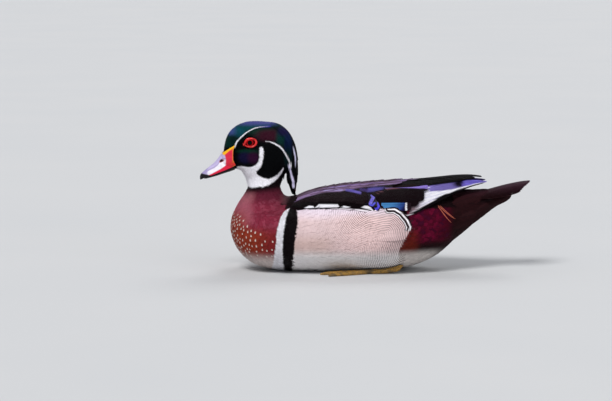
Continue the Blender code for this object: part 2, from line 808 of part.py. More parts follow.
def main():
    clear_scene()
    head, neck, torso, tail_root = body_parts()
    eyes = eyes_in(head)
    bills = bill_on(head)
    crest = crest_on(head, neck)
    wing = folded_wing(torso)
    wings = [wing, mirrored(wing, "wing_left")]
    tail = tail_from(tail_root, torso)
    leg, foot = leg_and_foot(torso)
    limbs = [leg, foot, mirrored(leg, "leg_left"), mirrored(foot, "foot_left")]
    for thing in [head, neck, torso, crest, tail, *eyes, *bills, *wings, *limbs]:
        kind = thing.name if thing.name in COLOURS else thing.name.split("_")[0]
        finish(thing, COLOURS.get(kind, COLOURS["leg"]))


main()
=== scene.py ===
"""The looks of a drake wood duck: one skin under a coat of solid feathers, with bill, eyes and feet.

Shapes are worked out in millimetres in the CAD's own frame and scaled to metres as each mesh is made.
The bird faces -X and its left side faces -Y.
"""

import math

import bmesh
import bpy
import numpy as np
from mathutils import Matrix, Vector
from mathutils.bvhtree import BVHTree


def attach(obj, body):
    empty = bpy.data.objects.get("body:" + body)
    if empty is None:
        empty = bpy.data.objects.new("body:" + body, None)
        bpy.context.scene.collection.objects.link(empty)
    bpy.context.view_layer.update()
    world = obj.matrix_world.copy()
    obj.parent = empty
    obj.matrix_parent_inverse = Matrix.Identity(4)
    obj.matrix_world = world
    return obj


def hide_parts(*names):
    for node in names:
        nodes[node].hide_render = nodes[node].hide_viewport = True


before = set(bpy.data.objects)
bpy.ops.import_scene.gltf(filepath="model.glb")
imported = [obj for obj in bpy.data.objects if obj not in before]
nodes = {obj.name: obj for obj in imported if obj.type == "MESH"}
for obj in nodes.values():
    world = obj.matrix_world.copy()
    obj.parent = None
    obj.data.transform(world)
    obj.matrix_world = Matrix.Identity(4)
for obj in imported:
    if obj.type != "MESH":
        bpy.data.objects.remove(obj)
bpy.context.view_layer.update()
draw = np.random.default_rng(7)
MM = 0.001
# The photo's view: the point that it aims at, how far off it is, and how much lower a point looks for each
# millimetre that it lies nearer
AIM_X, AIM_Z = -64.35, 75.95
DISTANCE = 3000
DROP = 0.105
PICTURE_WIDTH = 673.2

# Lines of the plumage in side view, x and z, alike on both sides

BIB = np.array([
    (-139.9, 114.3), (-134.5, 115.3), (-128.2, 114.3), (-123.2, 114.8), (-119.4, 116.7), (-116.2, 120.6),
    (-115.0, 125.7), (-115.3, 131.3), (-114.8, 135.7), (-112.8, 137.0), (-111.0, 135.1), (-110.6, 131.3),
    (-111.0, 125.0), (-112.1, 119.3), (-113.6, 114.8), (-116.2, 111.9), (-118.4, 110.0), (-118.4, 107.0),
    (-115.6, 104.7), (-110.6, 102.3), (-105.5, 101.2), (-100.4, 102.6), (-95.4, 105.8), (-91.6, 110.3),
    (-89.1, 113.3), (-88.8, 111.3), (-91.3, 106.5), (-95.4, 101.1), (-100.4, 97.3), (-105.5, 94.4),
    (-110.6, 93.0), (-118.1, 92.4), (-123.2, 91.7), (-128.2, 92.0), (-136, 92.0), (-142, 104.0),
])
BROW = np.array([
    (-142.5, 135.5), (-139.9, 142.1), (-135.2, 147.1), (-130.1, 151.6), (-125.6, 154.3), (-120.7, 156.6),
    (-115.6, 157.8), (-111.8, 158.2), (-103.0, 158.6),
])
TEMPLE = np.array([
    (-108.7, 142.8), (-103.6, 142.2), (-98.6, 140.1), (-93.5, 137.1), (-89.7, 133.1), (-86.6, 127.8),
    (-83.4, 121.8), (-80.5, 114.6),
])
LOCK = np.array([(-83.7, 116.5), (-81.5, 109.5), (-79.9, 103.2), (-78.3, 97.5), (-78.0, 91.9)])
REAR = np.array([(-79.0, 136.7), (-77.4, 131.6), (-76.1, 126.0), (-75.8, 119.6), (-75.9, 114.6)])
# Across the chest, by height: front of the white bar, its back, and the back of the black one
BAR_HEIGHTS = (-10, 20, 38, 44, 49, 55, 62, 68, 72, 76)
BAR_FRONT = (-104, -99, -96.5, -96.2, -95.6, -94.4, -92.2, -88.6, -82.2, -76)
BAR_MIDDLE = (-88, -89.5, -89.6, -88.9, -88.3, -87.3, -86.2, -84.0, -81.6, -76)
BAR_BACK = (-80, -78.5, -77, -76.1, -74.9, -74.2, -73.8, -74.3, -76, -77)
FLANK_END = np.array([
    (26.5, 66.3), (33.3, 66.3), (40.2, 61.9), (47.1, 54.0), (50.5, 46.6), (48, 38.7), (44, 31.5), (38, 21.5),
])
FLANK_REAR = np.vstack([[(8, 69.5), (18, 67.5)], FLANK_END[:5], [(50, 34), (44, 16)]])
BAR_STEP = 1.9  # between two of the fine lines on the rear flank

# Tables of the CAD that the large feathers need too
TRUNK = [
    (-148.3, 43.5, 50.5, 5, 47), (-147, 38, 58, 15, 47), (-144, 29.5, 65.5, 26, 47), (-138, 19.5, 73, 37, 47),
    (-128, 10, 78, 47, 47), (-115, 3.5, 80, 54.5, 47), (-98, 0, 80.5, 60, 47.5), (-78, -1.5, 81.5, 64.5, 48),
    (-55, -1.5, 86, 68.5, 49), (-28, -1.5, 90.5, 71.5, 50), (0, -1.5, 93.5, 72, 50), (26, -0.5, 94.5, 69, 51),
    (48, 3, 93.5, 62, 52.5), (68, 10, 91.5, 53, 55), (86, 21.5, 89, 44, 59), (102, 36.5, 86.5, 35.5, 64),
    (118, 53, 86, 27, 69), (132, 63.8, 86, 19, 75), (143, 71.5, 86.5, 11, 78.5), (149, 76, 87.5, 10, 81),
    (158, 81, 90.5, 9, 85.5), (168, 86, 94, 7, 90),
]
ROOF = [
    (-80, 80, 60, 50), (-60, 87, 67.5, 51), (-30, 93, 71, 52), (0, 96, 71.3, 53), (30, 98, 67.5, 56),
    (50, 99, 60.5, 60), (66, 100, 50.5, 68), (83, 101.5, 38.5, 77), (100, 103, 28.5, 85), (118, 103, 20, 92),
    (136, 100, 13, 96.5),
]
TAIL_FAN = [
    (104, 13, 79, 4), (114, 15, 82, 6), (125, 19, 85.5, 8.5), (138, 22.5, 89, 11), (152, 24.5, 92.8, 11.8),
    (165, 24.5, 95.7, 9.9), (174, 23.5, 97.2, 5.4), (182, 21.5, 98, 3.6),
]
CREST = [
    (-106, 165.2, -105, 155, 9), (-92, 160.3, -98, 150, 12), (-82, 150.8, -92, 143, 12),
    (-76, 138, -88, 134, 11), (-73.6, 124, -86, 122, 9.5), (-73.2, 110, -86, 109, 7.5),
    (-74.3, 98, -85.5, 99, 5.5), (-76, 89, -82.5, 91, 3.5), (-78.7, 82.8, -79.6, 83.4, 0.8),
]
EYE = Vector((-125.6, 13.0, 141.3))
EYE_RADIUS = 7.5


def smooth_rows(rows, steps):
    table = np.array(rows, float)
    padded = np.vstack([2 * table[0] - table[1], table, 2 * table[-1] - table[-2]])
    fine = []
    for before, here, after, last in zip(padded, padded[1:], padded[2:], padded[3:]):
        for t in np.arange(steps) / steps:
            line = 2 * here + (after - before) * t
            bend = (2 * before - 5 * here + 4 * after - last) * t**2
            twist = (3 * here - before - 3 * after + last) * t**3
            fine.append((line + bend + twist) / 2)
    fine.append(table[-1])
    return np.array(fine)


TRUNK_ROWS, ROOF_ROWS = smooth_rows(TRUNK, 6), smooth_rows(ROOF, 6)
FAN_ROWS, CREST_ROWS = smooth_rows(TAIL_FAN, 4), smooth_rows(CREST, 6)


def row_at(rows, x):
    return [np.interp(x, rows[:, 0], column) for column in rows.T[1:]]


def roof_point(x, degrees, lift):
    """A point on the right half of the roof that the folded wings make."""
    ridge, half, eaves = row_at(ROOF_ROWS, x)
    c, s = math.cos(math.radians(degrees)), math.sin(math.radians(degrees))
    return np.array((x, (half + lift) * c, eaves + (ridge - eaves + lift) * s))


def trunk_point(x, degrees, lift):
    """A point on the trunk, by how far it is round it from the widest line of the right side."""
    keel, back, beam, waist = row_at(TRUNK_ROWS, x)
    c, s = math.cos(math.radians(degrees)), math.sin(math.radians(degrees))
    up = back - waist if s > 0 else waist - keel
    r = (abs(c / beam) ** 2.3 + abs(s / up) ** 2.3) ** (-1 / 2.3) + lift
    return np.array((x, r * c, waist + r * s))


def fan_point(x, percent, lift):
    half, middle, droop = row_at(FAN_ROWS, x)
    v = percent / 100
    return np.array((x, half * v, middle - droop * v * v + lift))


def crest_point(percent, degrees, lift):
    """A point on the crest: 0 percent at the crown, 0 degrees at the back."""
    steps = np.arange(len(CREST_ROWS)) * 100 / (len(CREST_ROWS) - 1)
    ox, oz, ix, iz, half = (np.interp(percent, steps, c) for c in CREST_ROWS.T)
    reach = np.array((ox - ix, 0, oz - iz)) / 2
    c, s = math.cos(math.radians(degrees)), math.sin(math.radians(degrees))
    out = reach / np.linalg.norm(reach) * c + np.array((0, s, 0))
    return np.array(((ox + ix) / 2, half * s, (oz + iz) / 2)) + reach * c + out * lift


# Meshes


def new_piece(name, mesh, material, *stands_for, slot=None):
    piece = bpy.data.objects.new(name, mesh)
    bpy.context.scene.collection.objects.link(piece)
    mesh.materials.clear()
    mesh.materials.append(material)
    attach(piece, "root")
    if stands_for:
        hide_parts(*stands_for)


def from_arrays(name, points, quads, triangles, paint, quill, bake):
    """A mesh from arrays in millimetres, with its colours and its two UV maps, all per vertex."""
    mesh = bpy.data.meshes.new(name)
    quads, triangles = np.asarray(quads).reshape(-1, 4), np.asarray(triangles).reshape(-1, 3)
    corners = np.concatenate([quads.ravel(), triangles.ravel()]).astype(np.int32)
    sizes = np.concatenate([np.full(len(quads), 4), np.full(len(triangles), 3)])
    mesh.vertices.add(len(points))
    mesh.vertices.foreach_set("co", (points * MM).astype(np.float32).ravel())
    mesh.loops.add(len(corners))
    mesh.loops.foreach_set("vertex_index", corners)
    mesh.polygons.add(len(sizes))
    mesh.polygons.foreach_set("loop_start", np.concatenate([[0], np.cumsum(sizes)[:-1]]).astype(np.int32))
    mesh.update()
    mesh.validate()
    painted(mesh, paint)
    for title, uv in (("OFBake", bake), ("quill", quill)):
        layer = mesh.uv_layers.new(name=title)
        layer.data.foreach_set("uv", uv[corners].astype(np.float32).ravel())
    mesh.shade_smooth()
    mesh.set_sharp_from_angle(angle=math.radians(50))
    return mesh


def copied(*names):
    """CAD nodes together as one merged mesh in millimetres."""
    shape = bmesh.new()
    for name in names:
        shape.from_mesh(nodes[name].data)
    shape.transform(Matrix.Scale(1 / MM, 4))
    bmesh.ops.remove_doubles(shape, verts=shape.verts, dist=0.001)
    return shape


def remeshed(shape, voxel, relax, shrink=0.0):
    """A bmesh grown into one even, smooth surface, which is returned as a mesh in metres."""
    mesh = bpy.data.meshes.new("rough")
    shape.to_mesh(mesh)
    shape.free()
    rough = bpy.data.objects.new("rough", mesh)
    bpy.context.scene.collection.objects.link(rough)
    grown = rough.modifiers.new("grown", "REMESH")
    grown.mode = "VOXEL"
    grown.voxel_size = voxel
    evened = rough.modifiers.new("evened", "SMOOTH")
    evened.factor = 0.5
    evened.iterations = relax
    if shrink:
        drawn_in = rough.modifiers.new("drawn_in", "DISPLACE")
        drawn_in.mid_level = 0
        drawn_in.strength = -shrink
    graph = bpy.context.evaluated_depsgraph_get()
    fine = bpy.data.meshes.new_from_object(rough.evaluated_get(graph))
    bpy.data.objects.remove(rough)
    bpy.data.meshes.remove(mesh)
    fine.transform(Matrix.Scale(MM, 4))
    fine.shade_smooth()
    return fine


def coordinates(mesh):
    out = np.empty(len(mesh.vertices) * 3, np.float32)
    mesh.vertices.foreach_get("co", out)
    return out.reshape(-1, 3).astype(float) / MM


def painted(mesh, colours):
    """Puts a colour on each vertex, with an alpha of 1 where none is given."""
    if colours.shape[1] == 3:
        colours = np.column_stack([colours, np.ones(len(colours))])
    layer = mesh.color_attributes.new("paint", "FLOAT_COLOR", "POINT")
    layer.data.foreach_set("color", colours.astype(np.float32).ravel())


# Materials


class Wiring:
    """Short words for putting a shader's nodes together."""

    def __init__(self, name):
        self.material = bpy.data.materials.new(name)
        self.material.use_nodes = True
        self.tree = self.material.node_tree
        self.shader = self.tree.nodes["Principled BSDF"]

    def node(self, kind, inputs=(), **settings):
        made = self.tree.nodes.new("ShaderNode" + kind)
        for key, value in settings.items():
            setattr(made, key, value)
        for place, value in dict(inputs).items():
            self.join(value, made.inputs[place])
        return made

    def join(self, value, socket):
        if isinstance(value, bpy.types.NodeSocket):
            self.tree.links.new(value, socket)
        else:
            socket.default_value = value

    def math(self, operation, a, b=0.5, c=0.5):
        return self.node("Math", {0: a, 1: b, 2: c}, operation=operation).outputs[0]

    def ramp(self, value, low, high, out_low=0.0, out_high=1.0):
        settings = {"interpolation_type": "SMOOTHSTEP"}
        inputs = {"Value": value, "From Min": low, "From Max": high, "To Min": out_low, "To Max": out_high}
        return self.node("MapRange", inputs, **settings).outputs["Result"]

    def mix(self, share, a, b, blend="MIX"):
        made = self.node("Mix", data_type="RGBA", blend_type=blend)
        for place, value in ((0, share), (6, a), (7, b)):
            self.join(value, made.inputs[place])
        return made.outputs[2]

    def noise(self, scale, detail, stretch=None):
        where = self.node("TexCoord").outputs["Object"]
        if stretch:
            where = self.node("Mapping", {"Vector": where, "Scale": stretch}).outputs[0]
        return self.node("TexNoise", {"Vector": where, "Scale": scale, "Detail": detail}).outputs["Fac"]

    def bump(self, height, distance, strength=1.0):
        inputs = {"Height": height, "Distance": distance, "Strength": strength}
        self.join(self.node("Bump", inputs).outputs[0], self.shader.inputs["Normal"])

    def surface(self, colour, roughness, **constants):
        self.join(colour, self.shader.inputs["Base Color"])
        self.join(roughness, self.shader.inputs["Roughness"])
        for name, value in constants.items():
            self.shader.inputs[name.replace("_", " ")].default_value = value
        return self.material


def rgb(red, green, blue):
    """A colour as seen on a screen, from 0 to 255, as the shader counts it."""
    shares = []
    for level in (red, green, blue):
        shares.append(level / 255 / 12.92 if level <= 10 else ((level / 255 + 0.055) / 1.055) ** 2.4)
    return np.array(shares)


def rgba(*colour):
    return (*(float(c) for c in rgb(*colour)), 1.0)


def barbs(w, count, slant):
    """The fine slanted lines on both sides of a feather's shaft, from 0 to 1, and how far off the shaft."""
    across, along, _ = w.node("SeparateXYZ", {0: w.node("UVMap", uv_map="quill").outputs[0]}).outputs
    aside = w.math("ABSOLUTE", w.math("SUBTRACT", across, 0.5))
    slanted = w.math("SUBTRACT", along, w.math("MULTIPLY", aside, slant))
    wave = w.math("SINE", w.math("MULTIPLY", slanted, count * 2 * math.pi))
    return w.math("MULTIPLY_ADD", wave, 0.5, 0.5), aside


def plumage(name, roughness, fine, count, contrast=0.16, barred=False, **constants):
    """Small feathers in the colours painted on them, with barbs and a slight unevenness."""
    w = Wiring(name)
    line, aside = barbs(w, count, 0.7)
    painted_on = w.node("Attribute", attribute_name="paint").outputs
    colour = painted_on["Color"]
    cloud = w.noise(420, 3)
    if barred:
        # fine wavy lines, a set distance from the flank's rear edge, which the paint's alpha holds
        wander = w.math("MULTIPLY", w.noise(110, 3), 9.0)
        phase = w.math("MULTIPLY_ADD", painted_on["Alpha"], 100 / BAR_STEP * 2 * math.pi, wander)
        wave = w.ramp(w.math("SINE", phase), -0.2, 0.7)
        strength = w.ramp(painted_on["Alpha"], 0.8, 0.02, 0.0, 0.75)
        patchy = w.ramp(w.noise(60, 2), 0.3, 0.6, 0.45, 1.0)
        wave = w.math("MULTIPLY", w.math("MULTIPLY", wave, strength), patchy)
        colour = w.mix(wave, colour, rgba(62, 42, 46))
    shade = w.math("MULTIPLY_ADD", w.math("SUBTRACT", cloud, 0.5), contrast * 2, 1.0)
    shade = w.math("MULTIPLY", shade, w.math("MULTIPLY_ADD", line, -contrast, 1.0 + contrast / 2))
    shade = w.math("MULTIPLY", shade, w.ramp(aside, 0.02, 0.06, 1 - contrast, 1.0))
    colour = w.mix(1.0, colour, shade, "MULTIPLY")
    w.bump(line, fine)
    return w.surface(colour, w.math("MULTIPLY_ADD", cloud, 0.2, roughness - 0.1), **constants)


def vane_finish(name, roughness, edge=0.0, **constants):
    """Large feathers: the colours painted on them, with a shaft, barbs and an edge that may be darker."""
    w = Wiring(name)
    line, aside = barbs(w, 60, 0.5)
    colour = w.node("Attribute", attribute_name="paint").outputs["Color"]
    colour = w.mix(w.ramp(aside, 0.03, 0.008, 0.0, 0.7), colour, (0.006, 0.004, 0.006, 1))
    if edge:
        colour = w.mix(w.ramp(aside, 0.42, 0.49, 0.0, edge), colour, (0.004, 0.003, 0.005, 1))
    streaks = w.math("MULTIPLY_ADD", w.noise(500, 4, stretch=(0.25, 1, 1)), 0.5, 0.75)
    shade = w.math("MULTIPLY", w.math("MULTIPLY_ADD", line, -0.2, 1.1), streaks)
    colour = w.mix(1.0, colour, shade, "MULTIPLY")
    w.bump(line, 0.00012)
    return w.surface(colour, w.math("MULTIPLY_ADD", w.noise(250, 4), 0.2, roughness - 0.1), **constants)


# Where the plumage's colours lie


def along(line, points):
    """Distance of points in side view from a line, and how far along it they lie from 0 to 1."""
    best, share = np.full(len(points), 1e9), np.zeros(len(points))
    lengths = np.linalg.norm(np.diff(line, axis=0), axis=1)
    begun = np.concatenate([[0], np.cumsum(lengths)])
    for i, (a, b) in enumerate(zip(line, line[1:])):
        t = np.clip(((points - a) @ (b - a)) / max(lengths[i] ** 2, 1e-9), 0, 1)
        off = np.linalg.norm(points - (a + t[:, None] * (b - a)), axis=1)
        nearer = off < best
        best[nearer] = off[nearer]
        share[nearer] = (begun[i] + t[nearer] * lengths[i]) / begun[-1]
    return best, share


def inside(outline, points):
    x, z = points.T
    within = np.zeros(len(points), bool)
    for (ax, az), (bx, bz) in zip(outline, np.roll(outline, -1, axis=0)):
        crosses = (az > z) != (bz > z)
        within ^= crosses & (x < (bx - ax) * (z - az) / (bz - az + 1e-12) + ax)
    return within


def softly_inside(outline, points, blur=0.35):
    off, _ = along(np.vstack([outline, outline[:1]]), points)
    return step(np.where(inside(outline, points), off, -off), -blur, blur)


def step(value, low, high):
    t = np.clip((value - low) / (high - low), 0, 1)
    return t * t * (3 - 2 * t)


def lay(colours, share, colour):
    """Paints a colour over others where its share says."""
    share = np.clip(np.asarray(share, float), 0, 1)[:, None]
    colours[:] = colours * (1 - share) + np.asarray(colour) * share


def spot(points, centre, radii):
    return step(1.5 - np.linalg.norm((points - np.array(centre)) / np.array(radii), axis=1), 0, 1)


WHITE = rgb(242, 240, 246)


def head_colours(points):
    """Crown, cheek and nape in green, blue and violet, partly the head's own colour and partly painted sheen,
    with the white lines and bib.
    """
    side = points[:, [0, 2]]
    x, z = side.T
    out = np.tile(rgb(1, 2, 4), (len(points), 1))
    brow_height = np.interp(x, BROW[:, 0], BROW[:, 1])
    above = step(z - brow_height, -2, 2)
    # the green, blue, violet and maroon zones are laid by place: partly the head's own colour, partly painted
    # sheen as one view shows it
    lay(out, above, rgb(2, 40, 36))
    lay(out, above * step(z, 149, 157) * step(x, -96, -108), rgb(4, 62, 66))
    lay(out, 0.7 * above * spot(side, (-138, 152), (7, 5)), rgb(12, 72, 88))
    lay(out, above * step(z, 157, 163) * step(x, -92, -104), rgb(72, 74, 138))
    lay(out, 0.8 * above * step(-x, 138, 147) * step(z, 146, 152), rgb(70, 84, 150))
    lay(out, 0.7 * above * spot(side, (-143, 143), (5, 6)), rgb(4, 22, 22))
    lay(out, spot(side, (-112, 153), (15, 5)) * (1 - above), rgb(1, 38, 30))
    lay(out, spot(side, (-105, 149), (14, 6)), rgb(50, 10, 28))
    lay(out, spot(side, (-91, 147), (6, 9)), rgb(3, 44, 42))
    lay(out, spot(side, (-84, 140), (4, 14)), rgb(8, 24, 58))
    lay(out, spot(side, (-89, 153), (6, 5)), rgb(22, 18, 56))
    lay(out, spot(side, (-128, 131.5), (11, 2.5)), rgb(0, 44, 30))
    lay(out, spot(side, (-131, 125), (7, 6)), rgb(18, 14, 50))
    lay(out, spot(side, (-122, 125), (6, 6)), rgb(44, 10, 42))
    lay(out, spot(side, (-84, 124), (4, 11)), rgb(3, 26, 28))
    off, share = along(BROW, side)
    lay(out, step(off, 1.0 - 0.7 * share, 0.5 - 0.45 * share) * step(share, 1.0, 0.86), WHITE)
    lay(out, 0.7 * step(off, 1.2, 0.3) * step(share, 0.6, 0.95), rgb(60, 50, 150))
    off, share = along(TEMPLE, side)
    lay(out, step(off, 0.25 + 0.85 * step(share, 0, 0.35), 0.1 + 0.4 * step(share, 0, 0.35)), WHITE)
    off, share = along(LOCK, side)
    lay(out, step(off, 0.6 + 1.3 * share, 0.3 + 0.8 * share), rgb(222, 216, 246))
    off, share = along(REAR, side)
    lay(out, step(off, 0.4 + 0.6 * np.sin(share * 3.1), 0.1 + 0.3 * np.sin(share * 3.1)), rgb(222, 220, 248))
    lay(out, softly_inside(BIB, side), WHITE)
    return out


def breast_colours(points, wild):
    """Chestnut with painted pinkish highlights on the upper front, redder and then orange brown towards the
    front and below.
    """
    x, _, z = points.T
    side = points[:, [0, 2]]
    out = np.tile(rgb(134, 44, 64), (len(points), 1))
    lay(out, step(z, 68, 84) * step(x, -134, -114), rgb(94, 30, 48))
    # painted highlights: pale pink light on the upper front of the breast
    lay(out, 0.6 * spot(side, (-130, 84), (9, 9)), rgb(170, 108, 116))
    lay(out, 0.7 * spot(side, (-135, 66), (12, 16)), rgb(188, 106, 122))
    lay(out, 0.25 * (wild > 0.6) * step(z, 34, 50), rgb(168, 84, 104))
    lay(out, 0.8 * step(z, 58, 40), rgb(128, 34, 32))
    front = step(-x, 120, 140) * step(z, 72, 56) + step(-x, 96, 126) * step(z, 54, 42)
    lay(out, np.minimum(front, 1) * 0.85, rgb(148, 54, 30))
    lay(out, step(z, 26, 12), rgb(222, 208, 204))
    return out


def neck_colours(points):
    x, _, z = points.T
    out = np.tile(rgb(14, 3, 8), (len(points), 1))
    low = 92 + 0.12 * (x + 110)
    lay(out, step(z, low, low - 8), breast_colours(points, np.full(len(points), 0.5)))
    lay(out, softly_inside(BIB, points[:, [0, 2]]), WHITE)
    return out


def seen(points):
    """Where points lie in the photo's side view, from 6 degrees above, on either side."""
    x, y, z = points.T
    nearer = 1 + np.abs(y) / DISTANCE
    height = (z - DROP * np.abs(y) - AIM_Z) * nearer + AIM_Z
    return np.column_stack([(x - AIM_X) * nearer + AIM_X, height])


def behind_flank(view):
    return view[:, 0] > np.interp(-view[:, 1], -FLANK_END[:, 1], FLANK_END[:, 0])


def body_colours(points, wild):
    """Breast, bars, flank, rump and belly. wild is a random number for each feather, from 0 to 1."""
    x, _, z = points.T
    out = np.tile(rgb(226, 200, 200), (len(points), 1))
    lay(out, step(z, 58, 72), rgb(242, 226, 238))
    lay(out, 0.7 * step(z, 50, 36) * step(x, -20, -50), rgb(212, 182, 174))
    lay(out, step(x, -50, 0) * step(z, 72, 62), rgb(244, 212, 210))
    lay(out, 0.5 * step(x, 6, 36), rgb(206, 182, 184))
    lay(out, step(z, 32, 18), rgb(240, 236, 236))
    view = seen(points)
    off, _ = along(FLANK_END, view)
    beyond = behind_flank(view)
    cloud = 0.5 * np.sin(x * 0.27 + 1.7 * np.sin(z * 0.19)) * np.sin(z * 0.31 + 1.1 * np.sin(x * 0.19))
    cloud += 1.4 * (wild - 0.5)
    rump = np.tile(rgb(36, 14, 17), (len(points), 1))
    patch = step(x, 98, 88) * step(z, 32, 40)
    lay(rump, patch, rgb(66, 6, 26))
    lay(rump, 0.8 * patch * step(cloud, -0.7, 1.1) * step(x, 90, 74), rgb(112, 13, 50))
    lay(rump, 0.5 * patch * step(-cloud, 0.1, 0.9), rgb(60, 10, 44))
    lay(rump, 0.7 * step(x, 62, 50) * step(z, 56, 44), rgb(112, 36, 22))
    lay(rump, step(z, 73, 79), rgb(20, 9, 12))
    lay(rump, step(x, 92, 66) * step(z, 30, 20), rgb(214, 206, 202))
    out[beyond] = rump[beyond]
    outward = np.where(beyond, off, -off)
    strip = step(z, 48.5, 51) * (x > 20)
    outer = 1.1 + np.interp(z, (52, 62, 70), (0.5, 2, 4.5))
    for near, far, colour in (
        (1.1, outer, (4, 1, 3)), (-1.05, 1.1, (252, 248, 252)), (-3.2, -1.05, (4, 1, 3)),
        (-4.3, -3.2, (252, 248, 252)), (-4.9, -4.3, (10, 4, 6)),
    ):
        band = step(outward, near - 0.2, near + 0.2) * step(outward, far + 0.2, far - 0.2)
        lay(out, band * strip, rgb(*colour))
    front_edge, middle, back = (np.interp(z, BAR_HEIGHTS, bar) for bar in (BAR_FRONT, BAR_MIDDLE, BAR_BACK))
    high = z > 74
    lay(out, x < back + 0.6, rgb(10, 4, 6))
    lay(out, (x < middle) & ~high, WHITE)
    on_top = (view[:, 1] > 73 - 0.5 * (view[:, 0] + 92)) & (x > -93) & (x < 100)
    on_top &= z > np.interp(x, (-50, 0, 8, 16, 45, 60), (72, 75, 75.5, 73.6, 73.6, 72))
    ahead = (x < front_edge) & ~(high & (x > -92))
    out[ahead] = breast_colours(points, wild)[ahead]
    lay(out, on_top, rgb(20, 7, 10))
    lay(out, on_top * step(x + 0.55 * (82 - view[:, 1]), -78, -84), rgb(86, 58, 64))
    lay(out, 0.7 * on_top * step(x, -84, -93), rgb(112, 40, 56))
    return out


HEAD_CUT, HEAD_UP = np.array((-110, 0, 97)), np.array((-0.19, 0, 1))
NECK_CUT, NECK_UP = np.array((-86, 0, 84)), np.array((-0.25, 0, 1))


def plumage_colours(points, wild):
    """The colour at each point, from the part of the bird that it lies on."""
    out = body_colours(points, wild)
    neck = (points - NECK_CUT) @ NECK_UP > 0
    out[neck] = neck_colours(points[neck])
    head = (points - HEAD_CUT) @ HEAD_UP > 0
    out[head] = head_colours(points[head])
    return out


# The skin, which everything else lies on


def make_skin():
    """The skin of torso, neck, head and crest in one, inside the solids by the coat's depth."""
    shape = copied("torso", "neck", "head", "crest", "tail")
    cut = {"geom": shape.verts[:] + shape.edges[:] + shape.faces[:]}
    bmesh.ops.bisect_plane(shape, plane_co=(150, 0, 0), plane_no=(1, 0, 0), clear_outer=True, **cut)
    wings = copied("wing_left", "wing_right")
    cut = {"geom": wings.verts[:] + wings.edges[:] + wings.faces[:]}
    bmesh.ops.bisect_plane(wings, plane_co=(62, 0, 0), plane_no=(1, 0, 0), clear_outer=True, **cut)
    for part in (shape, wings):
        bmesh.ops.holes_fill(part, edges=[e for e in part.edges if e.is_boundary])
    held = bpy.data.meshes.new("held")
    wings.to_mesh(held)
    wings.free()
    shape.from_mesh(held)
    bpy.data.meshes.remove(held)
    skin = remeshed(shape, 1.8, 8, 1.3)
    points = coordinates(skin)
    # drawn up under the tail
    x, y, z = points.T
    depth = np.clip((np.interp(x, (80, 118, 148), (58, 69, 80)) - z) / 20, 0, 1)
    points[:, 2] += depth * np.interp(x, (80, 102, 118, 132, 150), (0, 2.5, 3.3, 0.6, 0))
    # and hollowed under the chin, with the neck upright below
    throat = np.clip(1 - np.abs(y) / 18, 0, 1) * (x < -112)
    heights = (91, 97, 103, 107, 110, 113, 116)
    points[:, 0] += throat * np.interp(z, heights, (0, -2.2, -1.0, 0.8, 2.2, 1.2, 0))
    nape = np.clip(1 - np.abs(y) / 16, 0, 1) * (x > -102) * (x < -84)
    points[:, 0] += nape * np.interp(z, (92, 98, 104, 111), (0, 2.6, 2.2, 0))
    skin.vertices.foreach_set("co", (points * MM).astype(np.float32).ravel())
    painted(skin, plumage_colours(points, np.full(len(points), 0.5)) * 0.92)
    return skin


skin = make_skin()
skin_points = coordinates(skin)
skin_faces = [tuple(face.vertices) for face in skin.polygons]
surface = BVHTree.FromPolygons([Vector(p) for p in skin_points], skin_faces)

# The coat of small feathers


def scatter():
    """Places all over the skin, each further from the others than the spacing there."""
    skin.calc_loop_triangles()
    corners = np.array([t.vertices for t in skin.loop_triangles])
    a, b, c = (skin_points[corners[:, i]] for i in range(3))
    normals = np.cross(b - a, c - a)
    area = np.linalg.norm(normals, axis=1) / 2
    normals /= np.maximum(area[:, None] * 2, 1e-9)
    tight = spacing_at((a + b + c) / 3)
    wanted = area / tight**2 * 4.5 * (tight < 90)
    picks = draw.choice(len(area), int(wanted.sum()), p=wanted / wanted.sum())
    u, v = draw.random((2, len(picks)))
    flip = u + v > 1
    u[flip], v[flip] = 1 - u[flip], 1 - v[flip]
    places = a[picks] + u[:, None] * (b - a)[picks] + v[:, None] * (c - a)[picks]
    room = tight[picks]
    cell, grid, kept = 3.0, {}, []
    for i, (place, gap) in enumerate(zip(places, room)):
        key = tuple(int(k) for k in place // cell)
        reach = int(gap // cell) + 1
        near = range(-reach, reach + 1)
        crowded = False
        for dx in near:
            for dy in near:
                for dz in near:
                    for j in grid.get((key[0] + dx, key[1] + dy, key[2] + dz), ()):
                        q = places[j]
                        apart = (place[0] - q[0]) ** 2 + (place[1] - q[1]) ** 2 + (place[2] - q[2]) ** 2
                        if apart < gap * gap:
                            crowded = True
                            break
                    if crowded:
                        break
                if crowded:
                    break
            if crowded:
                break
        if not crowded:
            grid.setdefault(key, []).append(i)
            kept.append(i)
    return places[kept], normals[picks[kept]], room[kept]


def region_of(points):
    """The part of the plumage at each point: 0 head, 1 neck, 2 breast, 3 flank and belly, 4 rump and back."""
    x, _, z = points.T
    out = np.full(len(points), 3)
    out[x < np.interp(z, BAR_HEIGHTS, BAR_MIDDLE)] = 2
    out[(x > 96) | ((z > 72) & (x > -90)) | behind_flank(seen(points))] = 4
    out[(points - NECK_CUT) @ NECK_UP > 0] = 1
    out[(points - HEAD_CUT) @ HEAD_UP > 0] = 0
    return out


# Spacing of the feathers in each region, their length and width in spacings, and how far their tips stand off
SPACING = np.array((1.2, 1.7, 2.3, 2.5, 2.7))
LENGTHS = np.array((3.0, 3.4, 3.2, 3.4, 3.4))
WIDTHS = np.array((1.35, 1.5, 1.6, 1.7, 1.75))
STANDING = np.array((0.75, 0.7, 0.8, 0.6, 0.8))


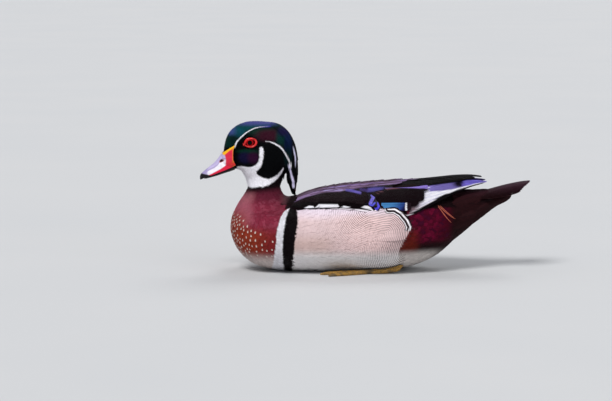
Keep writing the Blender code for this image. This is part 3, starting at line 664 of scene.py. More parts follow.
def under_wing(points):
    """Where the large feathers of the folded wings cover the skin."""
    x, y, z = points.T
    ridge, half, eaves = row_at(ROOF_ROWS, x)
    degrees = np.degrees(np.arctan2((z - eaves) / (ridge - eaves), np.abs(y) / half))
    low = np.interp(x, (-66, -50, -20, 2, 10, 16, 40, 62), (46, 38, 35, 33, 29, 25, 25, 27))
    return (x > -62) & (x < 62) & (degrees > low)


def spacing_at(points):
    """How far apart small feathers stand. At 99 there are none."""
    x, _, z = points.T
    out = SPACING[region_of(points)]
    out[under_wing(points)] = 99
    out[(x > 130) & (z > 60)] = 99
    out[(z < 2.5) & (x > -110)] = 6
    # the bare ring of the eye
    out[np.hypot(x + 125.8, z - 141.3) < 5.5] = 99
    face = (points - HEAD_CUT) @ HEAD_UP > 0
    out[face & (x < -118) & (out < 90)] *= 0.85
    off, _ = along(FLANK_END, seen(points))
    near_bar = (x > -100) & (x < -72) & (z < 76) & (z > 20)
    out[((off < 7) | near_bar) & (out < 5)] *= 0.72
    return out


def lie_of(points, normals):
    """The way that feathers lie at each point, along the skin."""
    x, y, z = points.T
    flow = np.column_stack([np.ones(len(x)), 0.12 * np.sign(y) * (x < -60), np.full(len(x), -0.05)])
    breast = step(-x, 60, 110)[:, None]
    away = points - np.array((-118, 0, 92))
    away[:, 1] *= 0.8
    away /= np.linalg.norm(away, axis=1)[:, None]
    flow = flow * (1 - 0.8 * breast) + away * 0.8 * breast
    neck = ((points - NECK_CUT) @ NECK_UP > 0)[:, None]
    flow = np.where(neck, np.array((0.35, 0, -1)), flow)
    away = points - np.array((-152, 0, 122))
    away /= np.linalg.norm(away, axis=1)[:, None]
    low = step(118 - z, 0, 20)[:, None] * step(x, -130, -100)[:, None]
    away = away * (1 - low) + np.array((0.5, 0, -0.85)) * low
    back = step(x, -100, -84)[:, None]
    away = away * (1 - back) + np.array((0.25, 0, -1)) * back
    head = ((points - HEAD_CUT) @ HEAD_UP > 0)[:, None]
    flow = np.where(head, away, flow)
    flow -= normals * np.sum(flow * normals, axis=1)[:, None]
    return flow / np.maximum(np.linalg.norm(flow, axis=1), 1e-6)[:, None]


RINGS = np.array(((0.0, 0.42), (0.3, 0.86), (0.62, 1.0), (0.86, 0.78)))


def make_coat():
    """All the small feathers, each a thin closed vane of four rings and a tip."""
    roots, normals, gaps = scatter()
    towards = lie_of(roots, normals)
    kinds = region_of(roots)
    wild = draw.random(len(roots))
    turned = (draw.random(len(roots)) - 0.5) * 0.35
    aside = np.cross(normals, towards)
    towards = towards * np.cos(turned)[:, None] + aside * np.sin(turned)[:, None]
    lengths = gaps * LENGTHS[kinds] * (0.85 + 0.3 * draw.random(len(roots)))
    widths = gaps * WIDTHS[kinds] * (0.9 + 0.2 * draw.random(len(roots)))
    stand = gaps * 0.16 * STANDING[kinds] + 0.3 + 0.18 * draw.random(len(roots))
    count = len(roots)
    points = np.empty((count, 13, 3))
    here, normal, heading = roots.copy(), normals.copy(), towards.copy()
    travelled = 0.0
    for r, (t, share) in enumerate([*RINGS, (1.0, 0.0)]):
        forward = (t - travelled) * lengths
        travelled = t
        moved = here + heading * forward[:, None]
        for i, place in enumerate(moved):
            found, facing, _, _ = surface.find_nearest(Vector(place))
            here[i], normal[i] = found, facing
        heading -= normal * np.sum(heading * normal, axis=1)[:, None]
        heading /= np.maximum(np.linalg.norm(heading, axis=1), 1e-6)[:, None]
        side = np.cross(normal, heading)
        lift = -0.45 + (stand + 0.45) * t**0.8
        spine = here + normal * lift[:, None]
        if r == 4:
            points[:, 12] = spine + normal * 0.05
            break
        half = widths * share / 2
        thick = np.where(kinds == 3, 0.06 + 0.015 * widths, 0.12 + 0.03 * widths)
        points[:, r * 3] = spine - side * half[:, None]
        points[:, r * 3 + 1] = spine + normal * thick[:, None]
        points[:, r * 3 + 2] = spine + side * half[:, None]
    triangles = [(0, 1, 2), (9, 10, 12)[::-1], (10, 11, 12)[::-1], (11, 9, 12)[::-1]]
    quads = []
    for r in range(3):
        for i, j in ((0, 1), (1, 2), (2, 0)):
            quads.append((r * 3 + i, r * 3 + 3 + i, r * 3 + 3 + j, r * 3 + j))
    quads, triangles = np.array(quads)[:, ::-1], np.array(triangles)[:, ::-1]
    quill = np.array([(0.5 + (s - 1) * share / 2, t) for t, share in RINGS for s in range(3)] + [(0.5, 1.0)])
    points[:, :, 2] = np.maximum(points[:, :, 2], 0)
    colours = plumage_colours(points.reshape(-1, 3), np.repeat(wild, 13)).reshape(count, 13, 3)
    colours *= (1 + (draw.random(count) - 0.5) * np.where(kinds == 3, 0.06, 0.2))[:, None, None]
    specked = specks(points[:, 12], kinds)
    colours[np.ix_(specked, [10, 12])] = rgb(244, 236, 226)
    from_end, _ = along(FLANK_REAR, seen(points.reshape(-1, 3)))
    ahead = np.where(kinds == 3, 0.0, 1.0)[:, None]
    fading = np.clip(from_end.reshape(count, 13) / 100 + ahead, 0, 1)
    colours = np.concatenate([colours, fading[:, :, None]], axis=2)
    return roots, points, quads, triangles, colours, quill, kinds


def specks(tips, kinds):
    """Which feathers of the breast end in a white speck, wide apart and in rows."""
    x, _, z = tips.T
    wanted = (kinds == 2) & (x < -99) & (z > 18)
    wanted &= z < np.interp(x, (-150, -138, -130, -120, -108, -98), (66, 62, 55, 48, 42, 36))
    order = draw.permutation(np.flatnonzero(wanted))
    kept = []
    for i in order:
        gap = 3.5 if tips[i, 0] < -124 else 5.2
        if all(np.sum((tips[i] - tips[j]) ** 2) > gap**2 for j in kept):
            kept.append(i)
    return np.array(kept, int)


def unwrapped(points):
    """Places on an unwrap of the body's own shape, round its long middle line."""
    x, y, z = points.T
    high = (points - NECK_CUT) @ NECK_UP > 0
    round_body = np.arctan2(y, z - 50) / (2 * math.pi)
    body = np.column_stack([(x + 155) / 350 * 0.62 + 0.01, round_body * 0.96 + 0.5])
    turn = np.arctan2(y, -(x + 108)) / (2 * math.pi)
    upper = np.column_stack([0.66 + (turn + 0.5) * 0.32, (z - 80) / 90 * 0.96 + 0.02])
    return np.where(high[:, None], upper, body)


SMALL = {
    "head": plumage("head_feathers", 0.42, 0.00005, 16, contrast=0.14, Specular_IOR_Level=0.05),
    "neck": plumage("neck_feathers", 0.5, 0.00008, 18, Specular_IOR_Level=0.05),
    "breast": plumage("breast_feathers", 0.5, 0.0001, 20, Specular_IOR_Level=0.06),
    "flank": plumage("flank_feathers", 0.6, 0.00006, 20, contrast=0.06, barred=True, Specular_IOR_Level=0.06),
    "rump": plumage("rump_feathers", 0.55, 0.0001, 20, Specular_IOR_Level=0.03),
}


def coat_pieces():
    roots, points, quads, triangles, colours, quill, kinds = make_coat()
    for kind, (name, finish) in enumerate(SMALL.items()):
        for half, within in (("left", points[:, 12, 1] < 0), ("right", points[:, 12, 1] >= 0)):
            chosen = np.flatnonzero((kinds == kind) & within)
            count = len(chosen)
            starts = np.arange(count)[:, None, None] * 13
            patch = unwrapped(roots[chosen])[:, None, :] + (quill[None] - 0.5) * 0.003
            mesh = from_arrays(
                f"{name}_feathers_{half}",
                points[chosen].reshape(-1, 3),
                (quads[None] + starts).reshape(-1, 4),
                (triangles[None] + starts).reshape(-1, 3),
                colours[chosen].reshape(-1, 4),
                np.tile(quill, (count, 1)),
                patch.reshape(-1, 2),
            )
            new_piece(mesh.name, mesh, finish, slot="head" if kind == 0 else "neck" if kind == 1 else "torso")


# The large feathers

# Outlines: how far along a feather each place lies, and its share of the full width
BROAD = np.array(
    ((0, 0.5), (0.15, 0.8), (0.35, 0.97), (0.6, 1), (0.78, 0.95), (0.89, 0.76), (0.96, 0.46), (1, 0.14))
)
LONG = np.array(((0, 0.6), (0.2, 0.9), (0.5, 1), (0.75, 0.88), (0.88, 0.68), (0.95, 0.42), (1, 0.12)))
BLUNT = np.array(((0, 0.5), (0.3, 0.9), (0.6, 1), (0.85, 0.97), (0.94, 0.85), (0.985, 0.6), (1, 0.4)))
TAIL = np.array(((0, 0.5), (0.3, 0.9), (0.6, 1), (0.9, 1), (0.97, 0.9), (1, 0.66)))
SQUARE = np.array(((0, 0.6), (0.3, 0.95), (0.7, 1), (0.94, 0.99), (0.985, 0.92), (1, 0.72)))


def vane(place, root, tip, width, lifts, slope, outline, rows=13, columns=7, thick=0.7, edge=0.16, skew=0.0):
    """One large feather along a surface: its points, row by row, upper face and then lower.

    skew cuts its tip aslant, with the edge nearer the ridge drawn out.
    """
    root, tip = np.array(root, float), np.array(tip, float)

    def centre(t, aside=0.0, more=0.0):
        x, round_it = root + (tip - root) * t
        return place(x, round_it + aside, lifts[0] + (lifts[1] - lifts[0]) * t + more)

    upper, lower = [], []
    for t in 1 - (1 - np.linspace(0, 1, rows)) ** 1.25:
        middle = centre(t)
        up = centre(t, more=1) - middle
        up /= np.linalg.norm(up)
        ahead = centre(t + 0.02) - centre(t - 0.02)
        ahead /= np.linalg.norm(ahead)
        aside = np.cross(ahead, up)
        aside /= np.linalg.norm(aside)
        near, far = centre(t, -4), centre(t, 4)
        curving = ((near + far) / 2 - middle) @ up / (np.linalg.norm(far - near) / 2) ** 2
        half = width / 2 * np.interp(t, outline[:, 0], outline[:, 1])
        for s in np.linspace(-1, 1, columns):
            spine = middle + aside * s * half + up * (curving * (s * half) ** 2 - slope * s * half)
            spine = spine + ahead * skew * s * half * t**3
            depth = edge + (thick - edge) * (1 - abs(s)) ** 1.5
            upper.append(spine + up * depth / 2)
            lower.append(spine - up * depth / 2)
    return np.array(upper + lower)


def vane_faces(rows, columns):
    """Quads of a closed vane."""
    grid = np.arange(rows * columns).reshape(rows, columns)
    below = grid + rows * columns
    quads = []
    for r in range(rows - 1):
        for c in range(columns - 1):
            quads.append((grid[r, c], grid[r, c + 1], grid[r + 1, c + 1], grid[r + 1, c]))
            quads.append((below[r, c], below[r + 1, c], below[r + 1, c + 1], below[r, c + 1]))
    rim = [grid[0, c] for c in range(columns)] + [grid[r, -1] for r in range(1, rows)]
    rim += [grid[-1, c] for c in range(columns - 2, -1, -1)] + [grid[r, 0] for r in range(rows - 2, 0, -1)]
    for a, b in zip(rim, rim[1:] + rim[:1]):
        quads.append((b, a, a + rows * columns, b + rows * columns))
    return np.array(quads)


def tier(place, row, outline, **shape):
    """A row of large feathers spread evenly from the first to the last."""
    count, first_root, last_root, first_tip, last_tip, width, low, high, slope = row
    made = []
    for share in np.linspace(0, 1, count):
        root = np.array(first_root) * (1 - share) + np.array(last_root) * share
        tip = np.array(first_tip) * (1 - share) + np.array(last_tip) * share
        made.append(vane(place, root, tip, width, (low, high), slope, outline, **shape))
    return made


def vane_piece(name, finish, slot, made, *stands_for, tint, rows=13, columns=7, both=True, vary=0.12):
    """Large feathers as one piece on each side, the left one mirrored from the right."""
    faces = vane_faces(rows, columns)
    t = 1 - (1 - np.linspace(0, 1, rows)) ** 1.25
    quill = np.array([(c, r) for r in t for c in np.linspace(0, 1, columns)])
    quill = np.vstack([quill, quill])
    size = len(quill)
    cells = math.ceil(math.sqrt(len(made) * 2))
    for half in ("right", "left") if both else ("middle",):
        flip = half == "left"
        points = np.concatenate(made)
        quads = np.concatenate([faces + i * size for i in range(len(made))])
        if flip:
            points = points * np.array((1, -1, 1))
        if inside_out(points, quads):
            quads = quads[:, ::-1]
        number = np.arange(len(made)) + (len(made) if flip else 0)
        corner = np.column_stack([number % cells, number // cells])
        quills = np.tile(quill, (len(made), 1))
        bake = (quills * 0.94 + 0.03 + np.repeat(corner, size, axis=0)) / cells
        paint = tint(points)
        paint[:, :3] *= np.repeat(1 - vary + 2 * vary * draw.random(len(made)), size)[:, None]
        title = f"{name}_{half}" if both else name
        mesh = from_arrays(title, points, quads, np.zeros((0, 3)), paint, quills, bake)
        given = [node.format(half) for node in stands_for]
        new_piece(title, mesh, finish, *given, slot=slot)


def inside_out(points, quads):
    """Whether faces point inwards, by the sign of the volume that they close."""
    a, b, c, d = (points[quads[:, i]] for i in range(4))
    return np.sum(np.cross(a, b) * c) + np.sum(np.cross(a, c) * d) < 0


def turn_at(place, x, height):
    """How many degrees round a surface a point lies that the side view shows at this height."""
    turns = np.arange(0 if place is roof_point else -60, 91, 1.0)
    looks = [seen(place(x, turn, 0)[None])[0, 1] for turn in turns]
    return float(np.interp(height, looks, turns))


def laid(place, root, tip, width, lifts, slope, outline, **shape):
    """A feather from where its root and tip lie in the side view."""
    ends = []
    for x, height in (root, tip):
        turn = turn_at(place, x, height)
        x = (x - AIM_X) / (1 + place(x, turn, 0)[1] / DISTANCE) + AIM_X
        ends.append((x, turn_at(place, x, height)))
    return vane(place, *ends, width, lifts, slope, outline, **shape)


def on_wing(*shape, **more):
    return laid(roof_point, *shape, **more)


def above_line(points, line):
    return points[:, 1] - np.interp(points[:, 0], *np.array(line).T)


def primary_colours(points):
    """Lavender above, partly the feathers' own grey blue and partly painted sheen, white below, with a dark
    lower rim.
    """
    side = seen(points)
    x = side[:, 0]
    out = np.tile(rgb(112, 100, 168), (len(points), 1))
    lay(out, 0.7 * spot(side, (71, 92), (4, 3)), rgb(150, 132, 216))
    lay(out, spot(side, (105, 94.6), (7, 4)) * step(side[:, 1], 89.5, 91.5), rgb(14, 8, 22))
    lay(out, step(x, 106, 110) * step(x, 132, 124), rgb(112, 100, 200))
    upper = above_line(side, [
        (60, 92), (69.5, 90.1), (71.5, 85.9), (81, 86.3), (94, 87.8), (102, 89.5), (123, 94.8), (134, 96.3),
    ])
    hatch = 0.35 * step(np.sin((side[:, 1] - 0.55 * x) * 3.2), 0.2, 0.9) * step(x, 96, 84)
    lay(out, step(upper, 0.4, -0.3), WHITE)
    lay(out, step(upper, 0, -1.5) * hatch, rgb(150, 140, 205))
    lay(out, step(x, 66, 54), rgb(126, 104, 112))
    lower = above_line(side, [
        (40, 54), (48.5, 58.8), (60.3, 66.2), (70, 71.8), (84.8, 80.6), (99.5, 86.2),
        (116, 91.4), (131, 95.2),
    ])
    lay(out, step(lower, 1.9, 1.4) * step(x, 78, 70), rgb(238, 232, 240))
    lay(out, step(lower, 0.9, 0.5), rgb(14, 10, 14))
    return out


# outline of a patch of painted violet sheen on the scapulars
VIOLET_SHEEN = np.array([(3, 85.3), (3.5, 89.6), (12, 90.9), (21.5, 91), (20, 88.4), (11, 86.2)])


def wing_shine(points):
    """Black with painted violet sheen and painted lavender highlights, and a lavender bronze band and streaks
    towards the ridge, partly the back's own colour and partly painted sheen.
    """
    side = seen(points)
    out = np.tile(rgb(20, 6, 11), (len(points), 1))
    ridge = above_line(side, [
        (-84, 73), (-76, 75), (-65, 79.6), (-53, 83), (-43, 85.3), (-27, 85.8), (-18, 88), (0, 91),
        (20, 92.6), (45, 95.5), (70, 98),
    ])
    # band along the ridge: partly the back's bronze, partly painted sheen
    lay(out, 0.95 * step(ridge, -0.8, 0.8) * step(side[:, 0], 66, 44), rgb(144, 117, 160))
    # painted sheen: a violet gloss
    lay(out, 0.8 * softly_inside(VIOLET_SHEEN, side, 1.2), rgb(84, 76, 156))
    # the violet and lavender streaks are painted sheen and highlights; the brown and black ones lie between
    # the feathers
    for streak, wide, colour in (
        ([(-20, 87.8), (-13, 86.7), (-5, 84.6)], 2.0, (106, 94, 182)),
        ([(-4, 88), (3, 87.2)], 2.2, (66, 50, 112)),
        ([(-44, 86.6), (-36, 87.2), (-24, 87.7)], 1.0, (178, 164, 222)),
        ([(-46, 90), (-30, 91.4), (-20, 92.4)], 1.0, (164, 140, 210)),
        ([(-18, 93.2), (0, 95), (12, 95.9)], 1.0, (148, 112, 186)),
        ([(12, 96), (30, 97.6), (45, 98.6)], 0.9, (142, 108, 178)),
        ([(-72, 80.5), (-50, 87.6), (-30, 89.9), (-8, 92), (15, 94.4), (40, 96.8)], 0.7, (62, 34, 46)),
        ([(-60, 82.6), (-28, 88.6), (-8, 90.4), (10, 93)], 0.6, (76, 44, 58)),
        ([(-62, 86.4), (-40, 91), (-20, 93.6), (5, 96.4), (30, 98.8)], 0.5, (80, 50, 62)),
        ([(14, 92), (35, 93.4), (55, 94.8)], 1.0, (14, 5, 12)),
    ):
        off, _ = along(np.array(streak), side)
        lay(out, 0.85 * step(off, wide, wide * 0.4), rgb(*colour))
    lay(out, step(np.abs(points[:, 1]), 18, 8) * step(side[:, 0], 50, 30), rgb(92, 68, 86))
    return out


FLANK_TIPS = [
    np.array([(-67.7, 67), (-61, 70.2), (-56.5, 69.8), (-55, 68)]),
    np.array([(-54.5, 67.9), (-50, 72), (-29.5, 71.8), (-27.7, 69), (-30, 68.6)]),
    np.array([(-26.7, 68.3), (-23, 70.2), (-15, 68.6), (-20, 67.9)]),
    np.array([(-3.7, 68.2), (0, 70.2), (3.4, 70.1), (7, 68.3), (10.3, 64.3), (5, 66), (0, 67.2)]),
]


def flank_top(points):
    """White tips between black edges, over the flank's white top line."""
    side = seen(points)
    out = np.tile(rgb(10, 4, 6), (len(points), 1))
    for shape in FLANK_TIPS:
        lay(out, softly_inside(shape, side), WHITE)
    line = above_line(side, [
        (-76, 66.5), (-60, 67), (-50, 67), (-30, 68), (-25, 67.5), (-7.4, 66.8), (4, 65.3),
        (9.5, 63.8), (14, 62),
    ])
    lay(out, step(line, -0.2, -0.6), rgb(246, 236, 244))
    return out


def wing_feathers():
    satin = vane_finish("flight_satin", 0.5, Specular_IOR_Level=0.03)
    gloss = vane_finish("wing_gloss", 0.45, edge=0.3, Specular_IOR_Level=0.05)
    flush, fine = {"rows": 22, "columns": 9}, {"rows": 44, "columns": 15}
    spread = (7, (40, 14), (46, 44), (133.5, 32), (104, 60), 10, -2.4, -0.4, 0.24)
    primaries = tier(roof_point, spread, LONG, **flush)
    vane_piece("primaries", satin, "wing", primaries, "wing_{}", tint=primary_colours, vary=0.05, **flush)

    def speculum(points):
        side = seen(points)
        out = np.tile(rgb(74, 138, 196), (len(points), 1))
        slanted = side[:, 0] - 0.8 * (side[:, 1] - 67)
        lay(out, step(slanted, 24, 40), rgb(44, 72, 140))
        lay(out, step(slanted, 38, 43.5), rgb(22, 20, 64))
        lay(out, step(side[:, 0], 44.6, 45), WHITE)
        lay(out, step(side[:, 0], 46.4, 46.8), rgb(34, 20, 26))
        return out

    spread = (7, (-6, 33), (2, 46), (48.6, 22.5), (48.8, 39), 7.5, -2.1, 0.6, 0.2)
    secondaries = tier(roof_point, spread, SQUARE, **fine)
    vane_piece("secondaries", satin, "wing", secondaries, tint=speculum, vary=0.1, **fine)

    def violet(points):
        side = seen(points)
        out = np.tile(rgb(16, 6, 16), (len(points), 1))
        for crescent, wide, colour in (
            ([(8.4, 82), (9.6, 79.4), (7.8, 75.8), (6.4, 72.6)], 2.2, (120, 110, 216)),
            ([(6.2, 71), (8.8, 70.6), (11.2, 73.2)], 1.3, (86, 86, 214)),
            ([(10.6, 66.6), (13.6, 66.4), (15.8, 69.4), (15, 73.2)], 1.6, (74, 68, 204)),
        ):
            off, _ = along(np.array(crescent), side)
            lay(out, step(off, wide, wide * 0.6), rgb(*colour))
        return out

    made = [
        on_wing((7, 87), (9, 73.5), 8, (0.2, 0.9), 0.05, BROAD, **fine),
        on_wing((1, 77), (11.5, 68), 7, (0.2, 1.1), 0.05, BROAD, **fine),
        on_wing((9, 78), (15.4, 64.2), 7, (0.2, 1.3), 0.05, BROAD, **fine),
    ]
    blue = vane_finish("covert_blue", 0.4, Specular_IOR_Level=0.1)
    vane_piece("covert_tips", blue, "wing", made, tint=violet, **fine)

    def tertial(points):
        return np.tile(rgb(6, 2, 4), (len(points), 1))

    def big_tertial(points):
        side = seen(points)
        out = np.tile(rgb(14, 3, 7), (len(points), 1))
        top = above_line(side, [(10, 84), (18, 86.8), (24, 89.4), (32, 90.2), (68, 88.9)])
        # painted sheen: lavender along the upper edge
        lay(out, step(top, -0.2, 0.5) * step(side[:, 0], 16, 26), rgb(138, 118, 200))
        # painted highlight: a pale spot on that edge
        lay(out, 0.7 * step(top, 0.2, 0.9) * spot(side, (33, 91), (5, 2)), rgb(206, 198, 236))
        lay(out, 0.7 * step(np.abs(top + 0.8), 0.8, 0.3) * step(side[:, 0], 42, 30), rgb(140, 92, 104))
        lay(out, step(side[:, 0], 14, 6), rgb(24, 10, 18))
        return out

    big = [
        on_wing((-16, 77.5), (59.5, 76.8), 14.5, (-2.0, 1.4), 0.05, SQUARE, skew=0.42, **flush),
        on_wing((-16, 83), (65.5, 82), 16, (-1.6, 1.9), 0.05, SQUARE, skew=0.42, **flush),
        on_wing((-16, 88), (69.5, 88.7), 9, (-1.2, 2.3), 0.05, SQUARE, skew=0.42, **flush),
    ]
    long_ones = [
        on_wing((4, 95), (96, 97.4), 6.4, (-1.4, 0.8), 0.1, BROAD, **flush),
        on_wing((4, 96), (112, 98.8), 8, (-1.2, 1.2), 0.1, BROAD, **flush),
        on_wing((4, 97), (121, 100.0), 8, (-1.0, 1.4), 0.1, BLUNT, **flush),
        on_wing((4, 98), (128.6, 100.9), 9, (-0.6, 1.5), 0.1, BLUNT, **flush),
    ]
    vane_piece("long_tertials", satin, "wing", long_ones, tint=tertial, **flush)
    vane_piece("big_tertials", satin, "wing", big, tint=big_tertial, vary=0.03, **flush)

    scapulars = []
    for row, start in enumerate(np.linspace(-86, -2, 9)):
        lowest = np.interp(start + 34, (-60, -40, 0, 20, 40), (70.5, 71, 72.5, 82, 92))
        for height in np.linspace(0, 1, 7):
            x = start + draw.uniform(-4, 4)
            end = x + 34 + 8 * height + draw.uniform(-3, 3)
            low = turn_at(roof_point, end, lowest + 3)
            tip = (end, low + (80 - low) * height)
            root = (x, min(tip[1] + 4, 82))
            scapulars.append(vane(roof_point, root, tip, 13, (-2.6, 0.9 + 0.04 * row), 0.06, BROAD, **flush))
    vane_piece("scapulars", gloss, "wing", scapulars, tint=wing_shine, vary=0.15, **flush)
    made = [
        on_wing(root, tip, width, (-1.0, 1.3), -0.05, BROAD, **fine)
        for root, tip, width in (
            ((-80, 70.5), (-50, 69.2), 9), ((-64, 71.5), (-24, 69.6), 9), ((-40, 71), (-8, 68.8), 9),
            ((-20, 70.8), (11.5, 65.4), 8),
        )
    ]
    vane_piece("flank_tips", satin, "torso", made, tint=flank_top, vary=0.02, **fine)

    def flank_end(points):
        from_end, _ = along(FLANK_REAR, seen(points))
        body = body_colours(points, np.full(len(points), 0.5))
        return np.column_stack([body, np.clip(from_end / 100, 0, 1)])

    made = [
        laid(trunk_point, root, tip, width, (-1.6, 1.0 + 0.06 * k), 0, BROAD, **fine)
        for k, (root, tip, width) in enumerate((
            ((0, 60.4), (31, 65.2), 7), ((6, 60.3), (38, 66), 8), ((10, 57), (43.5, 62.6), 8.5),
            ((14, 52), (47.5, 57.6), 9), ((16, 47.5), (51.2, 52.6), 9), ((18, 43), (53, 47.5), 9),
            ((18, 38.5), (52.4, 43), 9), ((16, 34), (50, 38.5), 9),
        ))
    ]
    vane_piece("flank_ends", SMALL["flank"], "torso", made, tint=flank_end, vary=0.02, **fine)
    made = []
    for k, start in enumerate(np.linspace(-90, 30, 19)):
        shift = (0, 5, -5)[k % 3]
        root, tip = (start, 90 + shift), (start + 30, 90 + shift * 1.3)
        made.append(vane(roof_point, root, tip, 12, (-2.0, 0.8), 0, BROAD, **flush))
    vane_piece("back_feathers", gloss, "wing", made, tint=wing_shine, vary=0.15, both=False, **flush)


def tail_colours(points):
    out = np.tile(rgb(40, 17, 20), (len(points), 1))
    # painted sheen: purplish on the upper side of the tail
    lay(out, step(points[:, 2], 80, 96), rgb(52, 26, 38))
    return out


def tail_feathers():
    brown = vane_finish("tail_brown", 0.5, Specular_IOR_Level=0.05)
    dark = vane_finish("rump_brown", 0.55, Specular_IOR_Level=0.03)
    made = []
    for k, share in enumerate(np.linspace(-1, 1, 26)):
        under = abs(k - 12.5) * 0.12 + (0.06 if share < 0 else 0)
        tip = (181.3 - 11.5 * share**2 + draw.uniform(-0.5, 0.5), 88 * share)
        made.append(vane(fan_point, (108, 66 * share), tip, 12, (-under, -under), 0, TAIL, rows=20))
    vane_piece("tail_feathers", brown, "tail", made, "tail", both=False, tint=tail_colours, rows=20)
    above = []
    for start in (96, 105, 113, 120):
        angles = np.linspace(22, 158, 9) + (8 if start in (105, 120) else 0)
        for a in angles[angles < 160]:
            above.append(vane(trunk_point, (start, a), (start + 27, a * 0.8 + 18), 11, (-2, 0.9), 0, BROAD))
    for start in (96, 104, 111, 117, 123, 129, 135):
        for a in -np.linspace(4, 176, 13) + (6 if start in (104, 117, 129) else 0):
            above.append(vane(trunk_point, (start, a), (start + 26, a * 0.9 - 9), 11, (-2, 0.6), 0, BROAD))
    vane_piece("tail_coverts", dark, "tail", above, both=False, tint=tail_colours)
    plume = vane_finish("side_plume", 0.5)
    made = [
        laid(trunk_point, root, tip, 0.65, (0.9, 1.6), 0, LONG, thick=0.4)
        for root, tip in (((81, 70), (100, 55.6)), ((81, 69), (95.5, 51.6)), ((83, 70), (98, 57.4)))
    ]

    def orange(points):
        return np.tile(rgb(206, 104, 74), (len(points), 1))

    vane_piece("side_plumes", plume, "torso", made, tint=orange, vary=0.15)


def crest_feathers():
    finish = plumage("crest_gloss", 0.4, 0.00006, 40, contrast=0.14, Specular_IOR_Level=0.05)
    fine = {"rows": 11, "columns": 5}
    made = []
    for start, end, count, width, lift in (
        (5, 34, 22, 4.6, -1.4), (14, 52, 22, 4.4, -0.7), (26, 68, 20, 4.0, -0.6), (38, 80, 18, 3.8, -0.5),
        (50, 92, 16, 3.4, -0.4), (60, 100, 12, 3.0, -0.3),
    ):
        for angle in np.linspace(-200, 200, count, endpoint=False) * 0.9:
            jog = draw.uniform(-3, 3)
            tip = (min(end + jog, 100), angle * (0.9 if end < 90 else 0.6))
            root, lifts = (start + jog, angle), (-1.6, lift + 0.9)
            made.append(vane(crest_point, root, tip, width, lifts, 0, LONG, thick=0.5, **fine))
    for angle in np.linspace(140, 220, 18):
        start, end, out = draw.uniform(41, 50), draw.uniform(64, 79), draw.uniform(2.5, 8)
        tip = (end, 180 + (angle - 180) * 0.5)
        made.append(vane(crest_point, (start, angle), tip, 3.4, (1.2, out), 0, LONG, thick=0.5, **fine))
    vane_piece(
        "crest_feathers", finish, "crest", made, "crest", both=False, tint=head_colours, vary=0.15, **fine
    )


# Bill, eyes, legs and feet


def bill_colours(points):
    """White sides, red base with a yellow border, and black ridge line, tip and lower edge."""
    x, _, z = points.T
    side = points[:, [0, 2]]
    out = np.tile(rgb(236, 232, 240), (len(points), 1))
    places = (-180, -172.4, -169, -164.7, -161.2, -157.3, -154.9)
    ridge = np.interp(x, places, (106, 111, 112.8, 115, 117.8, 123.2, 124.7))
    # painted shading: lavender along the upper side of the bill
    lay(out, step(z, ridge - 4.4, ridge - 0.6), rgb(186, 174, 212))
    lay(out, 0.7 * step(np.abs(z - ridge + 1.6), 0.9, 0.3), rgb(142, 126, 168))
    lay(out, 0.85 * step(x, -171, -173.5), rgb(160, 148, 192))
    red = rgb(214, 36, 66)
    lay(out, step(x - np.interp(z, (108, 113, 118, 122, 128), (4, 1, 0, 1.2, -1.2)), -153.4, -151.6), red)
    lower = np.interp(x, (-171, -168, -155, -142.6), (104, 105, 110.5, 116))
    thick = np.interp(x, (-171, -158, -150), (0.6, 2.2, 4.5))
    lay(out, step(z, lower + thick + 0.6, lower + thick - 0.4), rgb(214, 24, 62))
    black = np.interp(x, (-181, -178, -172.7, -168, -155, -142.6), (107.4, 106, 105.2, 104.0, 109.4, 114.9))
    lay(out, step(z, black + 0.4, black - 0.3), rgb(7, 6, 9))
    rear = np.interp(z, (112, 117.5, 121, 131, 137.6), (-141.4, -142.5, -144.2, -144.2, -142))
    yellow = step(x, rear - 2.6, rear - 1.6)
    lay(out, yellow, rgb(240, 178, 20))
    top, _ = along(np.array([(-154.2, 129), (-149, 133.4), (-141.5, 138.6)]), side)
    lay(out, step(top, 2.4, 1.4), rgb(240, 178, 20))
    lay(out, step(top, 1.0, 2.6) * step(z, 118, 121) * step(x, -142.5, -145.5) * step(x, -153, -151), red)
    lay(out, step(z, 122.5, 118) * step(x, -150, -146) * (z > lower - 0.4), rgb(216, 44, 40))
    # the nostril, a slanted oval
    ahead, up = x + 156.6, z - 120.4
    hole = np.hypot((ahead * 0.87 + up * 0.5) * 0.85, (up * 0.87 - ahead * 0.5) * 1.9)
    lay(out, 0.8 * step(hole, 3.2, 2.2), rgb(190, 84, 74))
    lay(out, step(hole, 2.1, 1.6), rgb(56, 6, 8))
    return out


def horn_finish(name, roughness):
    w = Wiring(name)
    paint = w.node("Attribute", attribute_name="paint").outputs["Color"]
    cloud = w.noise(260, 5)
    colour = w.mix(1.0, paint, w.math("MULTIPLY_ADD", cloud, 0.5, 0.75), "MULTIPLY")
    grain = w.math("ADD", w.noise(900, 3), w.math("MULTIPLY", w.noise(160, 2), 0.6))
    w.bump(grain, 0.00012, 0.6)
    gloss = {"Coat_Weight": 0.06, "Coat_Roughness": 0.3, "Specular_IOR_Level": 0.25}
    return w.surface(colour, w.math("MULTIPLY_ADD", cloud, 0.25, roughness - 0.12), **gloss)


def make_bill():
    horn = horn_finish("bill_horn", 0.38)
    upper = remeshed(copied("bill_upper"), 0.45, 3)
    painted(upper, bill_colours(coordinates(upper)))
    new_piece("bill_upper_horn", upper, horn, "bill_upper")
    lower = remeshed(copied("bill_lower"), 0.5, 3)
    painted(lower, np.tile(rgb(9, 8, 10), (len(lower.vertices), 1)))
    new_piece("bill_lower_horn", lower, horn, "bill_lower")


